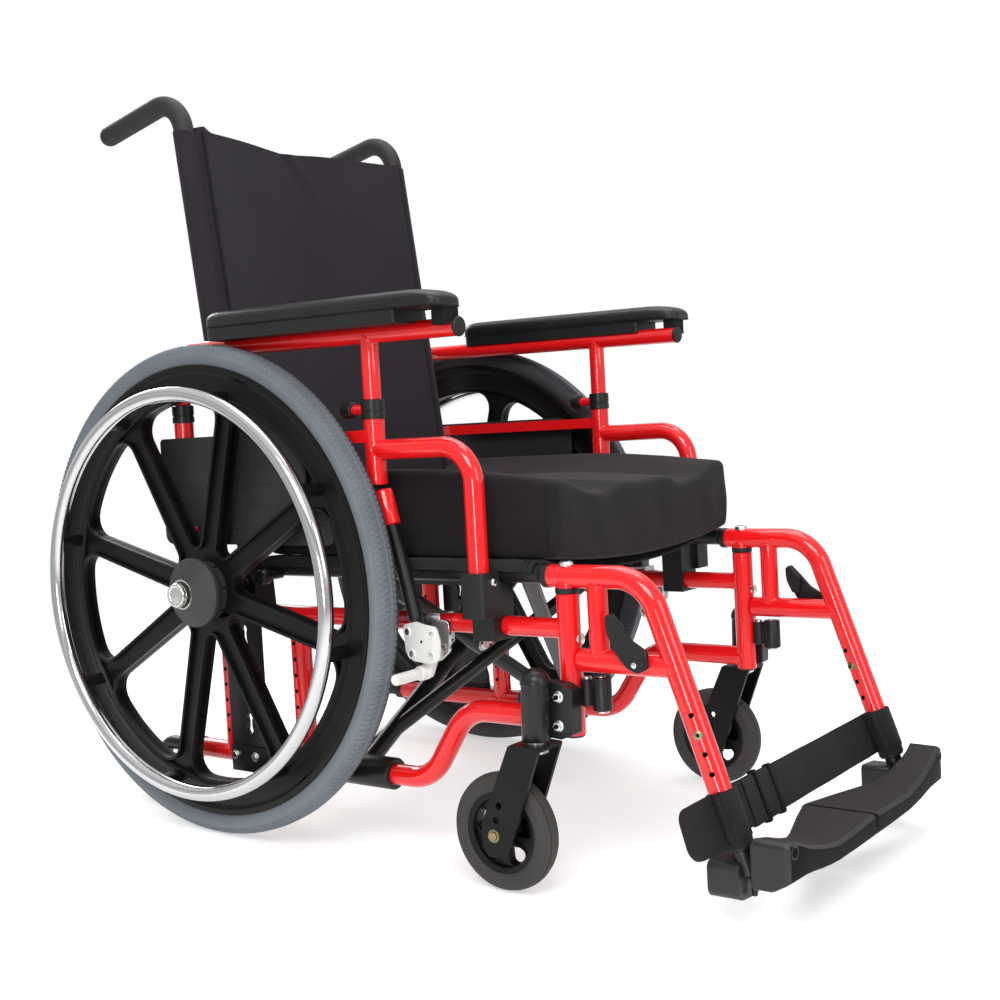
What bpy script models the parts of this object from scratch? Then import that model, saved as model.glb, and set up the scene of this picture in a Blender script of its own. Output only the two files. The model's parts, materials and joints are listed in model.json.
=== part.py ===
"""Folding wheelchair with swing-away leg rests, lift-off armrests and quick-release wheels.

Metres, +Z up. The chair faces -Y and +X is the user's left. The frame is pitched a little nose-up
about the rear axle, so frame pieces hang from an empty at the axle and are drawn in its axes:
x sideways, y backwards from the axle and z upwards from it. Wheels and casters stand level, so they
are drawn from the ground under the axle. Each pair is drawn once, for the left, and mirrored.
"""

import math

import bmesh
import bpy
from mathutils import Matrix, Vector

# Whole chair
AXLE_Y = 0.2258            # rear axle, so that the chair's box is centred
FRAME_PITCH = 2.3          # degrees nose-up
FIT = 0.0003               # clearance between two pieces that seat on each other
TURN = 0.0003              # clearance round a pin that turns in a bore
FLAT = math.cos(math.pi / 12)  # a twelve-sided tube's half-thickness on its flats, as a share of its radius
FRAME_X = 0.206            # centre plane of each side frame

# Side frame tubes
MAIN_R = 0.0127
MID_R = 0.0110
UPRIGHT_R = 0.0130
POST_Y = -0.492
POST_TOP = 0.0015
POST_BOTTOM = -0.152
MID_Z = -0.037
MID_END_Y = 0.086
UPPER_RAIL_Z = -0.136
LOWER_RAIL_Z = -0.224
LOWER_RAIL_END_Y = 0.120
S_BEND_TOP_Y = -0.346
S_BEND_FOOT_Y = -0.288
S_BEND_R = 0.055
UPRIGHT_FRONT_Y = -0.085
UPRIGHT_REAR_Y = 0.0445

# Rear wheel
TYRE_R = 0.305
BEAD_R = TYRE_R - 0.025
TYRE_X = 0.2763
TYRE_WIDTH = 0.035
RIM_INNER_R = BEAD_R - 0.040
WEB_THICK = 0.0186
SPOKES = 8
SPOKE_PHASE = 32.5         # degrees of the first spoke, from straight ahead upwards
SPOKE_HALF = 0.0125
HUB_R = 0.036
HUB_CAP_R = 0.043
HUB_INNER_X = 0.2560
HUB_OUTER_X = 0.3200
AXLE_R = 0.0063
HANDRIM_R = RIM_INNER_R + 0.005
HANDRIM_TUBE_R = 0.0100
HANDRIM_X = 0.3223
BUTTON_R = 0.0150
BUTTON_TRAVEL = 0.003
WHEEL_STEPS = 36

# Axle plate
PLATE_X = 0.2195
PLATE_THICK = 0.0070
PLATE_FRONT_Y = -0.030
PLATE_FOOT_Y = -0.046
PLATE_REAR_Y = 0.031
PLATE_TOP = 0.024
PLATE_BOTTOM = LOWER_RAIL_Z - 0.018
SLOT_Y = -0.003
REAR_SOCKET_Y = -0.030

# Caster
CASTER_R = 0.0653
CASTER_WIDTH = 0.026
CASTER_BEAD_R = 0.0455
CASTER_X = 0.2440
STEM_Y = -0.4735
STEM_R = 0.0080
TRAIL = 0.0423
HOUSING_R = 0.0165
HOUSING_BOTTOM = TYRE_R - 0.1335
HOUSING_TOP = HOUSING_BOTTOM + 0.062
FORK_PLATE = 0.0045
FORK_GAP = 0.0185          # half the space between the fork legs

# Leg rest
HANGER_Z = 0.020
HANGER_BACK_Y = -0.4655
HANGER_BEND_Y = -0.590
HANGER_BEND_R = 0.050
HANGER_LEAN = 19.4         # degrees of the down tube from upright
HANGER_LOW_Z = -0.070
HANGER_END_Z = -0.250
LEG_BRACE_Y = -0.530
LEG_BRACE_R = 0.0110
PIVOT_R = 0.0092
PIVOT_DEPTH = 0.040
LATCH_Y = -0.582
STUB_R = 0.0100
FLIP_X = 0.187
FLIP_Z = -0.2850
FLIP_PIN_R = 0.0045
STRAP_TALL = 0.050
STRAP_THICK = 0.0025

# Armrest
ARM_X = 0.2405
ARM_R = 0.0123
LOOP_R = 0.0116
RAIL_R = 0.0106
ARM_POST_Y = -0.260
ARM_REAR_Y = 0.068
ARM_RAIL_Z = TYRE_R - 0.008
ARM_RAIL_FRONT_Y = -0.400
ARM_LOOP_Z = 0.165
ARM_LOOP_Y = -0.400
PAD_REAR_Y = -0.021
PAD_FRONT_Y = -0.396
PAD_X = 0.2560              # the pads sit a little outboard of their rails
PAD_HALF = 0.028
PAD_BASE = ARM_RAIL_Z + 0.006
PAD_THICK = 0.0365
ARM_RAIL_DROOP = 0.014     # how much the rail falls forward, per metre of its run
PANEL_THICK = 0.0025

# Seat, back and fold
SEAT_RAIL_R = 0.0110
SEAT_RAIL_Z = 0.022
SEAT_RAIL_FRONT_Y = -0.4605
SEAT_RAIL_REAR_Y = -0.034
CROSS_R = 0.0110
CROSS_ARM_R = 0.0095
SLEEVE_R = 0.0190
CANE_R = 0.0125
WRAP_R = 0.0148
CANE_LEAN = 7.1            # degrees back from the frame's upright
CANE_Y = -0.0035           # cane axis at the height of the axle
HANDLE_Z = 0.6365
HANDLE_DROOP = 10.5
HANDLE_TIP_Y = 0.2262
HANDLE_BEND_R = 0.042
GRIP_R = 0.0131
SLING_THICK = 0.0028
SLING_SAG = 0.014
CUSHION_HALF = 0.200
CUSHION_FRONT_Y = -0.4765
CUSHION_REAR_Y = -0.0300
CUSHION_TOP = 0.1235
CUSHION_RISE = 0.0180       # how much the sides rise from the front edge to mid-thigh

# Wheel lock and anti-tip
LOCK_Y = -TYRE_R - 0.017
LOCK_Z = -0.050
SHOE_R = 0.0070
SHOE_Y = LOCK_Y + 0.0035
SHOE_Z = -0.0885
ANTI_TIP_R = 0.0095
ANTI_WHEEL_R = 0.0220

RED = (0.62, 0.012, 0.014)
BLACK = (0.012, 0.012, 0.013)
CLOTH = (0.018, 0.017, 0.020)


# Shapes: each function returns a closed surface as (points, faces)
def sweep(corners, radius, bend=0.0, sides=12):
    """A round bar along a line of corners, each inner corner rounded to the bend radius."""
    corners = [Vector(c) for c in corners]
    path = [corners[0]]
    for before, corner, after in zip(corners, corners[1:], corners[2:]):
        into = (corner - before).normalized()
        out = (after - corner).normalized()
        turn = into.angle(out)
        setback = bend * math.tan(turn / 2)
        centre = corner + (out - into).normalized() * bend / math.cos(turn / 2)
        axis = into.cross(out).normalized()
        start = corner - into * setback
        steps = max(2, round(math.degrees(turn) / 22))
        for i in range(steps + 1):
            path.append(centre + Matrix.Rotation(turn * i / steps, 3, axis) @ (start - centre))
    path.append(corners[-1])
    points = []
    along = (path[1] - path[0]).normalized()
    side = along.cross(Vector((1, 0, 0)))
    if side.length < 0.1:
        side = along.cross(Vector((0, 0, 1)))
    side.normalize()
    for i, centre in enumerate(path):
        ahead = (path[min(i + 1, len(path) - 1)] - path[max(i - 1, 0)]).normalized()
        side = (side - ahead * side.dot(ahead)).normalized()
        up = ahead.cross(side)
        for k in range(sides):
            a = math.tau * (k + 0.5) / sides
            points.append(centre + (side * math.cos(a) + up * math.sin(a)) * radius)
    return points, skin(len(path), sides)


def skin(rings, sides):
    """Faces that join equal rings of points, with both ends closed."""
    faces = [tuple(reversed(range(sides)))]
    for r in range(rings - 1):
        for k in range(sides):
            n = (k + 1) % sides
            faces.append((r * sides + k, r * sides + n, (r + 1) * sides + n, (r + 1) * sides + k))
    faces.append(tuple(range((rings - 1) * sides, rings * sides)))
    return faces


def loft(rings):
    points = [Vector(p) for ring in rings for p in ring]
    return points, skin(len(rings), len(rings[0]))


def place(axis, a, b, along):
    """A point from two coordinates in the plane square to the axis and one along it."""
    if axis == "x":
        return Vector((along, a, b))
    if axis == "y":
        return Vector((a, along, b))
    return Vector((a, b, along))


def prism(outline, axis, low, high):
    return loft([[place(axis, a, b, low) for a, b in outline],
                 [place(axis, a, b, high) for a, b in outline]])


def block(x, y, z):
    return prism([(x[0], y[0]), (x[1], y[0]), (x[1], y[1]), (x[0], y[1])], "z", *z)


def rod(start, end, radius, sides=12):
    return sweep([start, end], radius, sides=sides)


def hole(start, end, radius, room, sides=12):
    """A cutter whose flats leave this room all round a bar of the radius, so that it can turn."""
    return sweep([start, end], (radius + room) / math.cos(math.pi / sides), sides=sides)


def revolve(profile, centre, steps, phase=0.5):
    """A ring about an axle along x: the profile lists (radius, x), measured on the flats."""
    flat = 1 / math.cos(math.pi / steps)
    points = []
    for i in range(steps):
        a = math.tau * (i + phase) / steps - math.pi / 2
        points += [
            Vector((x, centre[0] + r * flat * math.cos(a), centre[1] + r * flat * math.sin(a)))
            for r, x in profile
        ]
    n = len(profile)
    faces = []
    for i in range(steps):
        j = (i + 1) % steps
        for k in range(n):
            m = (k + 1) % n
            faces.append((i * n + k, i * n + m, j * n + m, j * n + k))
    return points, faces


def turned(profile, foot, steps=16):
    """A solid of revolution about an upright axis: the profile lists (radius, height) from end to end."""
    rings = []
    for r, h in profile:
        rings.append([
            Vector((foot[0] + r * math.cos(math.tau * k / steps),
                    foot[1] + r * math.sin(math.tau * k / steps), foot[2] + h))
            for k in range(steps)
        ])
    return loft(rings)


def rounded(corners, steps=4):
    """A flat outline whose corners, listed as (a, b, radius), are rounded."""
    outline = []
    for i, (a, b, radius) in enumerate(corners):
        here = Vector((a, b))
        if radius == 0:
            outline.append((a, b))
            continue
        into = (here - Vector(corners[i - 1][:2])).normalized()
        out = (Vector(corners[(i + 1) % len(corners)][:2]) - here).normalized()
        turn = into.angle(out)
        centre = here + (out - into).normalized() * radius / math.cos(turn / 2)
        start = here - into * radius * math.tan(turn / 2)
        sign = 1 if into.cross(out) > 0 else -1
        for k in range(steps + 1):
            outline.append(tuple(centre + Matrix.Rotation(sign * turn * k / steps, 2) @ (start - centre)))
    return outline


def arc(centre, radius, start, end, steps):
    """Points of an arc in a plane, with angles in degrees."""
    return [
        (centre[0] + radius * math.cos(math.radians(start + (end - start) * k / steps)),
         centre[1] + radius * math.sin(math.radians(start + (end - start) * k / steps)))
        for k in range(steps + 1)
    ]


# Solids: joining, cutting and naming
def mesh_of(shape):
    points, faces = shape
    mesh = bpy.data.meshes.new("solid")
    mesh.from_pydata([tuple(p) for p in points], [], faces)
    work = bmesh.new()
    work.from_mesh(mesh)
    bmesh.ops.recalc_face_normals(work, faces=work.faces)
    work.to_mesh(mesh)
    work.free()
    return mesh


def combine(mesh, shapes, operation):
    """The mesh with each shape joined to it or cut from it."""
    for shape in shapes:
        body = bpy.data.objects.new("body", mesh)
        tool = bpy.data.objects.new("tool", mesh_of(shape))
        for thing in (body, tool):
            bpy.context.scene.collection.objects.link(thing)
        change = body.modifiers.new("change", "BOOLEAN")
        change.operation = operation
        change.solver = "EXACT"
        change.object = tool
        found = body.evaluated_get(bpy.context.evaluated_depsgraph_get())
        mesh = bpy.data.meshes.new_from_object(found)
        for thing in (body, tool):
            bpy.data.objects.remove(thing, do_unlink=True)
    return mesh


def solid(*shapes, less=()):
    return combine(combine(mesh_of(shapes[0]), shapes[1:], "UNION"), less, "DIFFERENCE")


def look(name, colour, rough, metal):
    found = bpy.data.materials.new(name)
    found.use_nodes = True
    shader = found.node_tree.nodes["Principled BSDF"]
    shader.inputs["Base Color"].default_value = (*colour, 1)
    shader.inputs["Roughness"].default_value = rough
    shader.inputs["Metallic"].default_value = metal
    return found


def add(name, mesh, finish, origin=(0, 0, 0), framed=True, mirrored=False):
    """Names a solid and sets its origin, in the frame's axes or from the ground under the axle."""
    mesh = mesh.copy()
    work = bmesh.new()
    work.from_mesh(mesh)
    bmesh.ops.remove_doubles(work, verts=work.verts, dist=0.00001)
    bmesh.ops.dissolve_degenerate(work, edges=work.edges, dist=0.00001)
    bmesh.ops.translate(work, vec=-Vector(origin), verts=work.verts)
    if mirrored:
        bmesh.ops.scale(work, vec=(-1, 1, 1), verts=work.verts)
        bmesh.ops.reverse_faces(work, faces=work.faces)
    work.to_mesh(mesh)
    work.free()
    mesh.name = name
    mesh.materials.clear()
    mesh.materials.append(look(name, *finish))
    mesh.shade_smooth()
    mesh.set_sharp_from_angle(angle=math.radians(40))
    piece = bpy.data.objects.new(name, mesh)
    piece.location = (-origin[0] if mirrored else origin[0], origin[1], origin[2])
    piece.parent = frame_axes if framed else ground_axes
    bpy.context.scene.collection.objects.link(piece)
    return piece


def add_pair(name, mesh, finish, origin=(0, 0, 0), framed=True):
    add(name + "_left", mesh, finish, origin, framed)
    add(name + "_right", mesh, finish, origin, framed, mirrored=True)


for old in list(bpy.data.objects):
    bpy.data.objects.remove(old, do_unlink=True)

frame_axes = bpy.data.objects.new("frame_axes", None)
frame_axes.location = (0, AXLE_Y, TYRE_R)
frame_axes.rotation_euler = (math.radians(-FRAME_PITCH), 0, 0)
ground_axes = bpy.data.objects.new("ground_axes", None)
ground_axes.location = (0, AXLE_Y, 0)
for axes in (frame_axes, ground_axes):
    bpy.context.scene.collection.objects.link(axes)

PAINT = (RED, 0.25, 0.0)
PLASTIC = (BLACK, 0.45, 0.0)
RUBBER = ((0.03, 0.03, 0.03), 0.8, 0.0)
FABRIC = (CLOTH, 0.9, 0.0)
STEEL = ((0.6, 0.6, 0.6), 0.25, 1.0)


# Side frames
def main_tube(*corners):
    return sweep([(FRAME_X, y, z) for y, z in corners], MAIN_R, S_BEND_R)


def upright(y):
    return rod((FRAME_X, y, LOWER_RAIL_Z), (FRAME_X, y, MID_Z), UPRIGHT_R)


side_frame = solid(
    main_tube((POST_Y, POST_BOTTOM), (POST_Y, POST_TOP)),
    rod((FRAME_X, POST_Y, MID_Z), (FRAME_X, MID_END_Y, MID_Z), MID_R),
    main_tube((POST_Y, UPPER_RAIL_Z), (S_BEND_TOP_Y, UPPER_RAIL_Z), (S_BEND_FOOT_Y, LOWER_RAIL_Z),
              (LOWER_RAIL_END_Y, LOWER_RAIL_Z)),
    upright(UPRIGHT_FRONT_Y),
    upright(UPRIGHT_REAR_Y),
    less=[hole((FRAME_X, POST_Y, POST_TOP - PIVOT_DEPTH - 0.003), (FRAME_X, POST_Y, POST_TOP + 0.01),
               PIVOT_R, TURN),
          hole((FRAME_X, LOWER_RAIL_END_Y - 0.035, LOWER_RAIL_Z),
               (FRAME_X, LOWER_RAIL_END_Y + 0.01, LOWER_RAIL_Z),
               ANTI_TIP_R, TURN)],
)
add_pair("side_frame", side_frame, PAINT)


# Axle plates, each with its fixed axle
def keyhole(z):
    """A figure-eight slot: two round seats that let the axle be set higher or lower."""
    top = arc((SLOT_Y, z + 0.008), 0.0065, -40, 220, 6)
    low = arc((SLOT_Y, z - 0.008), 0.0065, 140, 400, 6)
    return prism(top + low, "x", PLATE_X - 0.01, PLATE_X + 0.03)


plate_outline = rounded([
    (PLATE_FOOT_Y, PLATE_BOTTOM, 0.006), (PLATE_REAR_Y, PLATE_BOTTOM, 0.006),
    (PLATE_REAR_Y, PLATE_TOP - 0.02, 0.012), (0.016, PLATE_TOP, 0.008),
    (-0.016, PLATE_TOP, 0.008), (PLATE_FRONT_Y, PLATE_TOP - 0.02, 0.012),
    (PLATE_FRONT_Y, -0.135, 0.020), (PLATE_FOOT_Y, -0.195, 0.020),
], 3)
axle_plate = solid(
    prism(plate_outline, "x", PLATE_X, PLATE_X + PLATE_THICK),
    block((FRAME_X + MAIN_R * FLAT + FIT, PLATE_X + 0.012), (PLATE_FOOT_Y + 0.003, PLATE_REAR_Y - 0.003),
          (LOWER_RAIL_Z - 0.0165, LOWER_RAIL_Z + 0.0165)),
    rod((PLATE_X + 0.003, 0, 0), (HUB_INNER_X - FIT, 0, 0), 0.0140),
    rod((PLATE_X + 0.003, 0, 0), (HUB_OUTER_X - 0.008, 0, 0), AXLE_R),
    less=[keyhole(-0.065 - 0.038 * k) for k in range(4)],
)
add_pair("axle_plate", axle_plate, PLASTIC)

# Rear wheels: cast spokes, tyre and handrim
WEB_X = TYRE_X - WEB_THICK / 2


def spoke_angles():
    return [SPOKE_PHASE + 360 / SPOKES * k for k in range(SPOKES)]


def ray(angle, radius, aside=0.0):
    """A point in the wheel's plane: out along the angle from straight ahead, then to its side."""
    a = math.radians(180 - angle)
    return (radius * math.cos(a) + aside * math.sin(a), TYRE_R + radius * math.sin(a) - aside * math.cos(a))


def window(angle):
    """The opening between two spokes, flared where the spokes meet the rim."""
    half = 180 / SPOKES
    out = RIM_INNER_R + 0.0045
    near = SPOKE_HALF / math.sin(math.radians(half))
    reach = math.sqrt(out ** 2 - SPOKE_HALF ** 2)
    outline = rounded([
        (*ray(angle, reach, SPOKE_HALF), 0.030),
        (*ray(angle + half, near), 0.010),
        (*ray(angle + 2 * half, reach, -SPOKE_HALF), 0.030),
        (*ray(angle + half, out), 0),
    ], 2)
    return prism(outline, "x", WEB_X - 0.02, WEB_X + WEB_THICK + 0.03)


axle_centre = (0.0, TYRE_R)
rim_out = BEAD_R - FIT
rim = revolve([
    (RIM_INNER_R, TYRE_X - 0.0063), (RIM_INNER_R + 0.004, TYRE_X - 0.0118), (rim_out, TYRE_X - 0.0138),
    (rim_out, TYRE_X + 0.0138), (RIM_INNER_R + 0.004, TYRE_X + 0.0118), (RIM_INNER_R, TYRE_X + 0.0063),
], axle_centre, WHEEL_STEPS)
web = combine(
    mesh_of(rod((WEB_X, *axle_centre), (WEB_X + WEB_THICK, *axle_centre), (RIM_INNER_R + BEAD_R) / 2,
                WHEEL_STEPS)),
    [window(angle) for angle in spoke_angles()], "DIFFERENCE")
hub = revolve([
    (0.004, HUB_INNER_X), (0.024, HUB_INNER_X), (0.031, HUB_INNER_X + 0.003), (0.033, WEB_X - 0.004),
    (HUB_R, WEB_X + 0.001), (HUB_CAP_R, TYRE_X + 0.022), (HUB_CAP_R, TYRE_X + 0.0265),
    (0.0175, HUB_OUTER_X), (0.004, HUB_OUTER_X),
], axle_centre, 16)
bore = hole((HUB_INNER_X - 0.01, *axle_centre), (HUB_OUTER_X + 0.01, *axle_centre), AXLE_R, TURN)
wheel = combine(combine(web, [rim, hub], "UNION"), [bore], "DIFFERENCE")
wheel_origin = (TYRE_X, *axle_centre)
add_pair("wheel", wheel, PLASTIC, wheel_origin, framed=False)

half = TYRE_WIDTH / 2
tyre = mesh_of(revolve([
    (BEAD_R, TYRE_X - half + 0.003), (TYRE_R - 0.010, TYRE_X - half), (TYRE_R, TYRE_X - half + 0.009),
    (TYRE_R, TYRE_X + half - 0.009), (TYRE_R - 0.010, TYRE_X + half), (BEAD_R, TYRE_X + half - 0.003),
], axle_centre, WHEEL_STEPS))
add_pair("tyre", tyre, ((0.12, 0.14, 0.16), 0.75, 0.0), wheel_origin, framed=False)


def handrim_tab(angle):
    """A foot that carries the handrim on the flank of the rim, at a spoke."""
    foot = [ray(angle, HANDRIM_R - 0.0045, -0.007), ray(angle, HANDRIM_R + 0.0055, -0.007),
            ray(angle, HANDRIM_R + 0.0055, 0.007), ray(angle, HANDRIM_R - 0.0045, 0.007)]
    return prism(foot, "x", TYRE_X + 0.0124, HANDRIM_X - 0.004)


handrim = solid(
    revolve([(HANDRIM_R + a, HANDRIM_X + b) for a, b in arc((0, 0), HANDRIM_TUBE_R, 30, 330, 5)],
            axle_centre, 40),
    *[handrim_tab(angle) for angle in spoke_angles()],
)
add_pair("handrim", handrim, STEEL, wheel_origin, framed=False)

button = solid(
    rod((HUB_OUTER_X + BUTTON_TRAVEL + FIT, 0, 0), (HUB_OUTER_X + 0.011, 0, 0), BUTTON_R, 16),
    rod((HUB_OUTER_X - 0.004, 0, 0), (HUB_OUTER_X + BUTTON_TRAVEL + 0.002, 0, 0), AXLE_R),
)
add_pair("axle_button", button, STEEL, (HUB_OUTER_X, 0, 0))

# Casters
def level(y, z):
    """A point on a side frame's centre plane, taken from the frame's axes to the ground under the axle."""
    c, s = math.cos(math.radians(FRAME_PITCH)), math.sin(math.radians(FRAME_PITCH))
    return (FRAME_X, y * c + z * s, TYRE_R - y * s + z * c)


housing = solid(
    turned([(HOUSING_R, HOUSING_BOTTOM)] + [(r, HOUSING_TOP + h) for r, h in arc((0, 0), HOUSING_R, 0, 84, 4)],
           (CASTER_X, STEM_Y, 0), 16),
    prism(rounded([(STEM_Y, HOUSING_BOTTOM + 0.002, 0), (STEM_Y, HOUSING_TOP, 0), (-0.500, HOUSING_TOP, 0),
                   (-0.5145, HOUSING_TOP - 0.006, 0), (-0.5145, HOUSING_BOTTOM + 0.008, 0),
                   (-0.500, HOUSING_BOTTOM + 0.002, 0)], 2), "x", FRAME_X + 0.0085, CASTER_X - 0.009),
    less=[
        rod(level(POST_Y, POST_BOTTOM - 0.05), level(POST_Y, POST_TOP), MAIN_R + FIT),
        rod(level(POST_Y, UPPER_RAIL_Z), level(POST_Y + 0.1, UPPER_RAIL_Z), MAIN_R + FIT),
        hole((CASTER_X, STEM_Y, HOUSING_BOTTOM - 0.01), (CASTER_X, STEM_Y, HOUSING_TOP - 0.012), STEM_R,
             TURN),
    ],
)
add_pair("caster_housing", housing, PLASTIC, framed=False)

CROWN_TOP = HOUSING_BOTTOM - 0.0030
AXLE_CASTER_Y = STEM_Y + TRAIL
leg_outline = rounded([
    (STEM_Y - 0.019, CROWN_TOP, 0), (STEM_Y + 0.021, CROWN_TOP, 0.006),
    (AXLE_CASTER_Y + 0.017, CASTER_R + 0.010, 0.010), (AXLE_CASTER_Y + 0.012, CASTER_R - 0.026, 0.010),
    (AXLE_CASTER_Y - 0.018, CASTER_R - 0.022, 0.010),
], 3)


def fork_leg(side):
    near = CASTER_X + side * FORK_GAP
    far = CASTER_X + side * (FORK_GAP + FORK_PLATE)
    return prism(leg_outline, "x", min(near, far), max(near, far))


fork = solid(
    block((CASTER_X - FORK_GAP - FORK_PLATE / 2, CASTER_X + FORK_GAP + FORK_PLATE / 2),
          (STEM_Y - 0.0185, STEM_Y + 0.0195), (CROWN_TOP - FORK_PLATE, CROWN_TOP - 0.0001)),
    fork_leg(-1),
    fork_leg(1),
    rod((CASTER_X, STEM_Y, CROWN_TOP - 0.002), (CASTER_X, STEM_Y, HOUSING_TOP - 0.015), STEM_R),
    rod((CASTER_X, STEM_Y, CROWN_TOP - 0.002), (CASTER_X, STEM_Y, HOUSING_BOTTOM - FIT), STEM_R + 0.004),
    rod((CASTER_X - FORK_GAP - FORK_PLATE - 0.004, AXLE_CASTER_Y, CASTER_R),
        (CASTER_X + FORK_GAP + FORK_PLATE + 0.004, AXLE_CASTER_Y, CASTER_R), 0.0040, 12),
)
add_pair("caster_fork", fork, PLASTIC, (CASTER_X, STEM_Y, HOUSING_BOTTOM), framed=False)

caster_centre = (AXLE_CASTER_Y, CASTER_R)
caster_rim = revolve([
    (0.0365, CASTER_X - 0.006), (0.0385, CASTER_X - 0.0095), (CASTER_BEAD_R - FIT, CASTER_X - 0.0105),
    (CASTER_BEAD_R - FIT, CASTER_X + 0.0105), (0.0385, CASTER_X + 0.0095), (0.0365, CASTER_X + 0.006),
], caster_centre, 24)


def caster_window(k):
    mid = math.radians(90 + 72 * k)
    outline = rounded([
        (caster_centre[0] + r * math.cos(mid + a), caster_centre[1] + r * math.sin(mid + a), f)
        for r, a, f in ((0.0165, -0.25, 0), (0.0375, -0.43, 0.006), (0.0385, 0, 0), (0.0375, 0.43, 0.006),
                        (0.0165, 0.25, 0))
    ], 1)
    return prism(outline, "x", CASTER_X - 0.03, CASTER_X + 0.03)


caster_web = combine(
    mesh_of(rod((CASTER_X - 0.005, *caster_centre), (CASTER_X + 0.005, *caster_centre), 0.0405, 24)),
    [caster_window(k) for k in range(5)], "DIFFERENCE")
caster_hub = rod((CASTER_X - FORK_GAP + FIT, *caster_centre),
                 (CASTER_X + FORK_GAP - FIT, *caster_centre), 0.0115)
caster_bore = hole((CASTER_X - 0.03, *caster_centre), (CASTER_X + 0.03, *caster_centre), 0.0040, TURN)
caster_wheel = combine(combine(caster_web, [caster_rim, caster_hub], "UNION"), [caster_bore], "DIFFERENCE")
caster_origin = (CASTER_X, *caster_centre)
add_pair("caster_wheel", caster_wheel, PLASTIC, caster_origin, framed=False)

half = CASTER_WIDTH / 2
caster_tyre = mesh_of(revolve([
    (CASTER_BEAD_R, CASTER_X - half + 0.001), (CASTER_R - 0.006, CASTER_X - half),
    (CASTER_R, CASTER_X - half + 0.006), (CASTER_R, CASTER_X + half - 0.006),
    (CASTER_R - 0.006, CASTER_X + half), (CASTER_BEAD_R, CASTER_X + half - 0.001),
], caster_centre, 24))
add_pair("caster_tyre", caster_tyre, RUBBER, caster_origin, framed=False)


# Leg rests
def hanger_y(z):
    """The down tube's axis at a height in the frame's axes."""
    return HANGER_BEND_Y - (HANGER_Z - z) * math.tan(math.radians(HANGER_LEAN))


def hanger_tube(y0, z0, y1, z1, radius):
    return rod((FRAME_X, y0, z0), (FRAME_X, y1, z1), radius)


hanger = solid(
    sweep([(FRAME_X, HANGER_BACK_Y, HANGER_Z), (FRAME_X, HANGER_BEND_Y, HANGER_Z),
           (FRAME_X, hanger_y(HANGER_END_Z), HANGER_END_Z)], MAIN_R, HANGER_BEND_R),
    hanger_tube(POST_Y - MAIN_R - 0.001, HANGER_LOW_Z, hanger_y(HANGER_LOW_Z), HANGER_LOW_Z, MAIN_R),
    hanger_tube(LEG_BRACE_Y, HANGER_LOW_Z, LEG_BRACE_Y, HANGER_Z, LEG_BRACE_R),
    hanger_tube(POST_Y, POST_TOP + FIT, POST_Y, HANGER_Z, MAIN_R - 0.0006),
    hanger_tube(POST_Y, POST_TOP - PIVOT_DEPTH, POST_Y, HANGER_Z + MAIN_R, PIVOT_R),
    turned([(0.0085, 0), (0.0085, 0.001), (0.0070, 0.0032), (0.0030, 0.0046)],
           (FRAME_X, POST_Y, HANGER_Z + MAIN_R - 0.0008), 12),
    rod((FRAME_X, LATCH_Y, HANGER_LOW_Z), (FRAME_X + MAIN_R + 0.006, LATCH_Y, HANGER_LOW_Z), 0.0035, 10),
)
add_pair("hanger", hanger, PAINT, (FRAME_X, POST_Y, HANGER_Z))

# The latch's receiver on the post, and the lever that frees the leg rest
LATCH_TOP = HANGER_LOW_Z - MAIN_R - 0.0035
receiver_y = POST_Y - (MAIN_R + 0.0075) * FLAT - FIT
latch_receiver = solid(
    rod((FRAME_X, receiver_y, LATCH_TOP - 0.033), (FRAME_X, receiver_y, LATCH_TOP - 0.004), 0.0075),
    block((FRAME_X - 0.004, FRAME_X + 0.004), (LEG_BRACE_Y, receiver_y),
          (LATCH_TOP - 0.030, LATCH_TOP - 0.007)),
    rod((FRAME_X, LEG_BRACE_Y, LATCH_TOP - 0.038), (FRAME_X, LEG_BRACE_Y, LATCH_TOP), 0.0105),
)
add_pair("latch_receiver", latch_receiver, PLASTIC)

cheek_gap = MAIN_R * FLAT + FIT
cheek = rounded([
    (LATCH_Y + a, HANGER_LOW_Z + b, radius)
    for a, b, radius in ((-0.0140, -0.0050, 0.006), (0.0010, -0.0080, 0.006), (0.0170, 0.0120, 0.020),
                         (0.0280, 0.0340, 0.020), (0.0260, 0.0510, 0.002), (0.0205, 0.0500, 0),
                         (0.0120, 0.0330, 0.020), (0.0010, 0.0200, 0.010), (-0.0140, 0.0180, 0.004))
], 2)
latch_lever = solid(
    prism(cheek, "x", FRAME_X + 0.004, FRAME_X + MAIN_R + 0.0050),
    less=[block((FRAME_X - 0.01, FRAME_X + cheek_gap), (LATCH_Y - 0.05, LATCH_Y + 0.05),
                (HANGER_LOW_Z - 0.04, HANGER_LOW_Z + MAIN_R + 0.0015)),
          block((FRAME_X - 0.01, FRAME_X + cheek_gap), (LATCH_Y - 0.05, LATCH_Y + 0.006),
                (HANGER_LOW_Z, HANGER_LOW_Z + 0.030)),
          hole((FRAME_X - 0.03, LATCH_Y, HANGER_LOW_Z), (FRAME_X + 0.03, LATCH_Y, HANGER_LOW_Z), 0.0035,
               TURN, 10)],
)
add_pair("latch_lever", latch_lever, PLASTIC, (FRAME_X, LATCH_Y, HANGER_LOW_Z))

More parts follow.
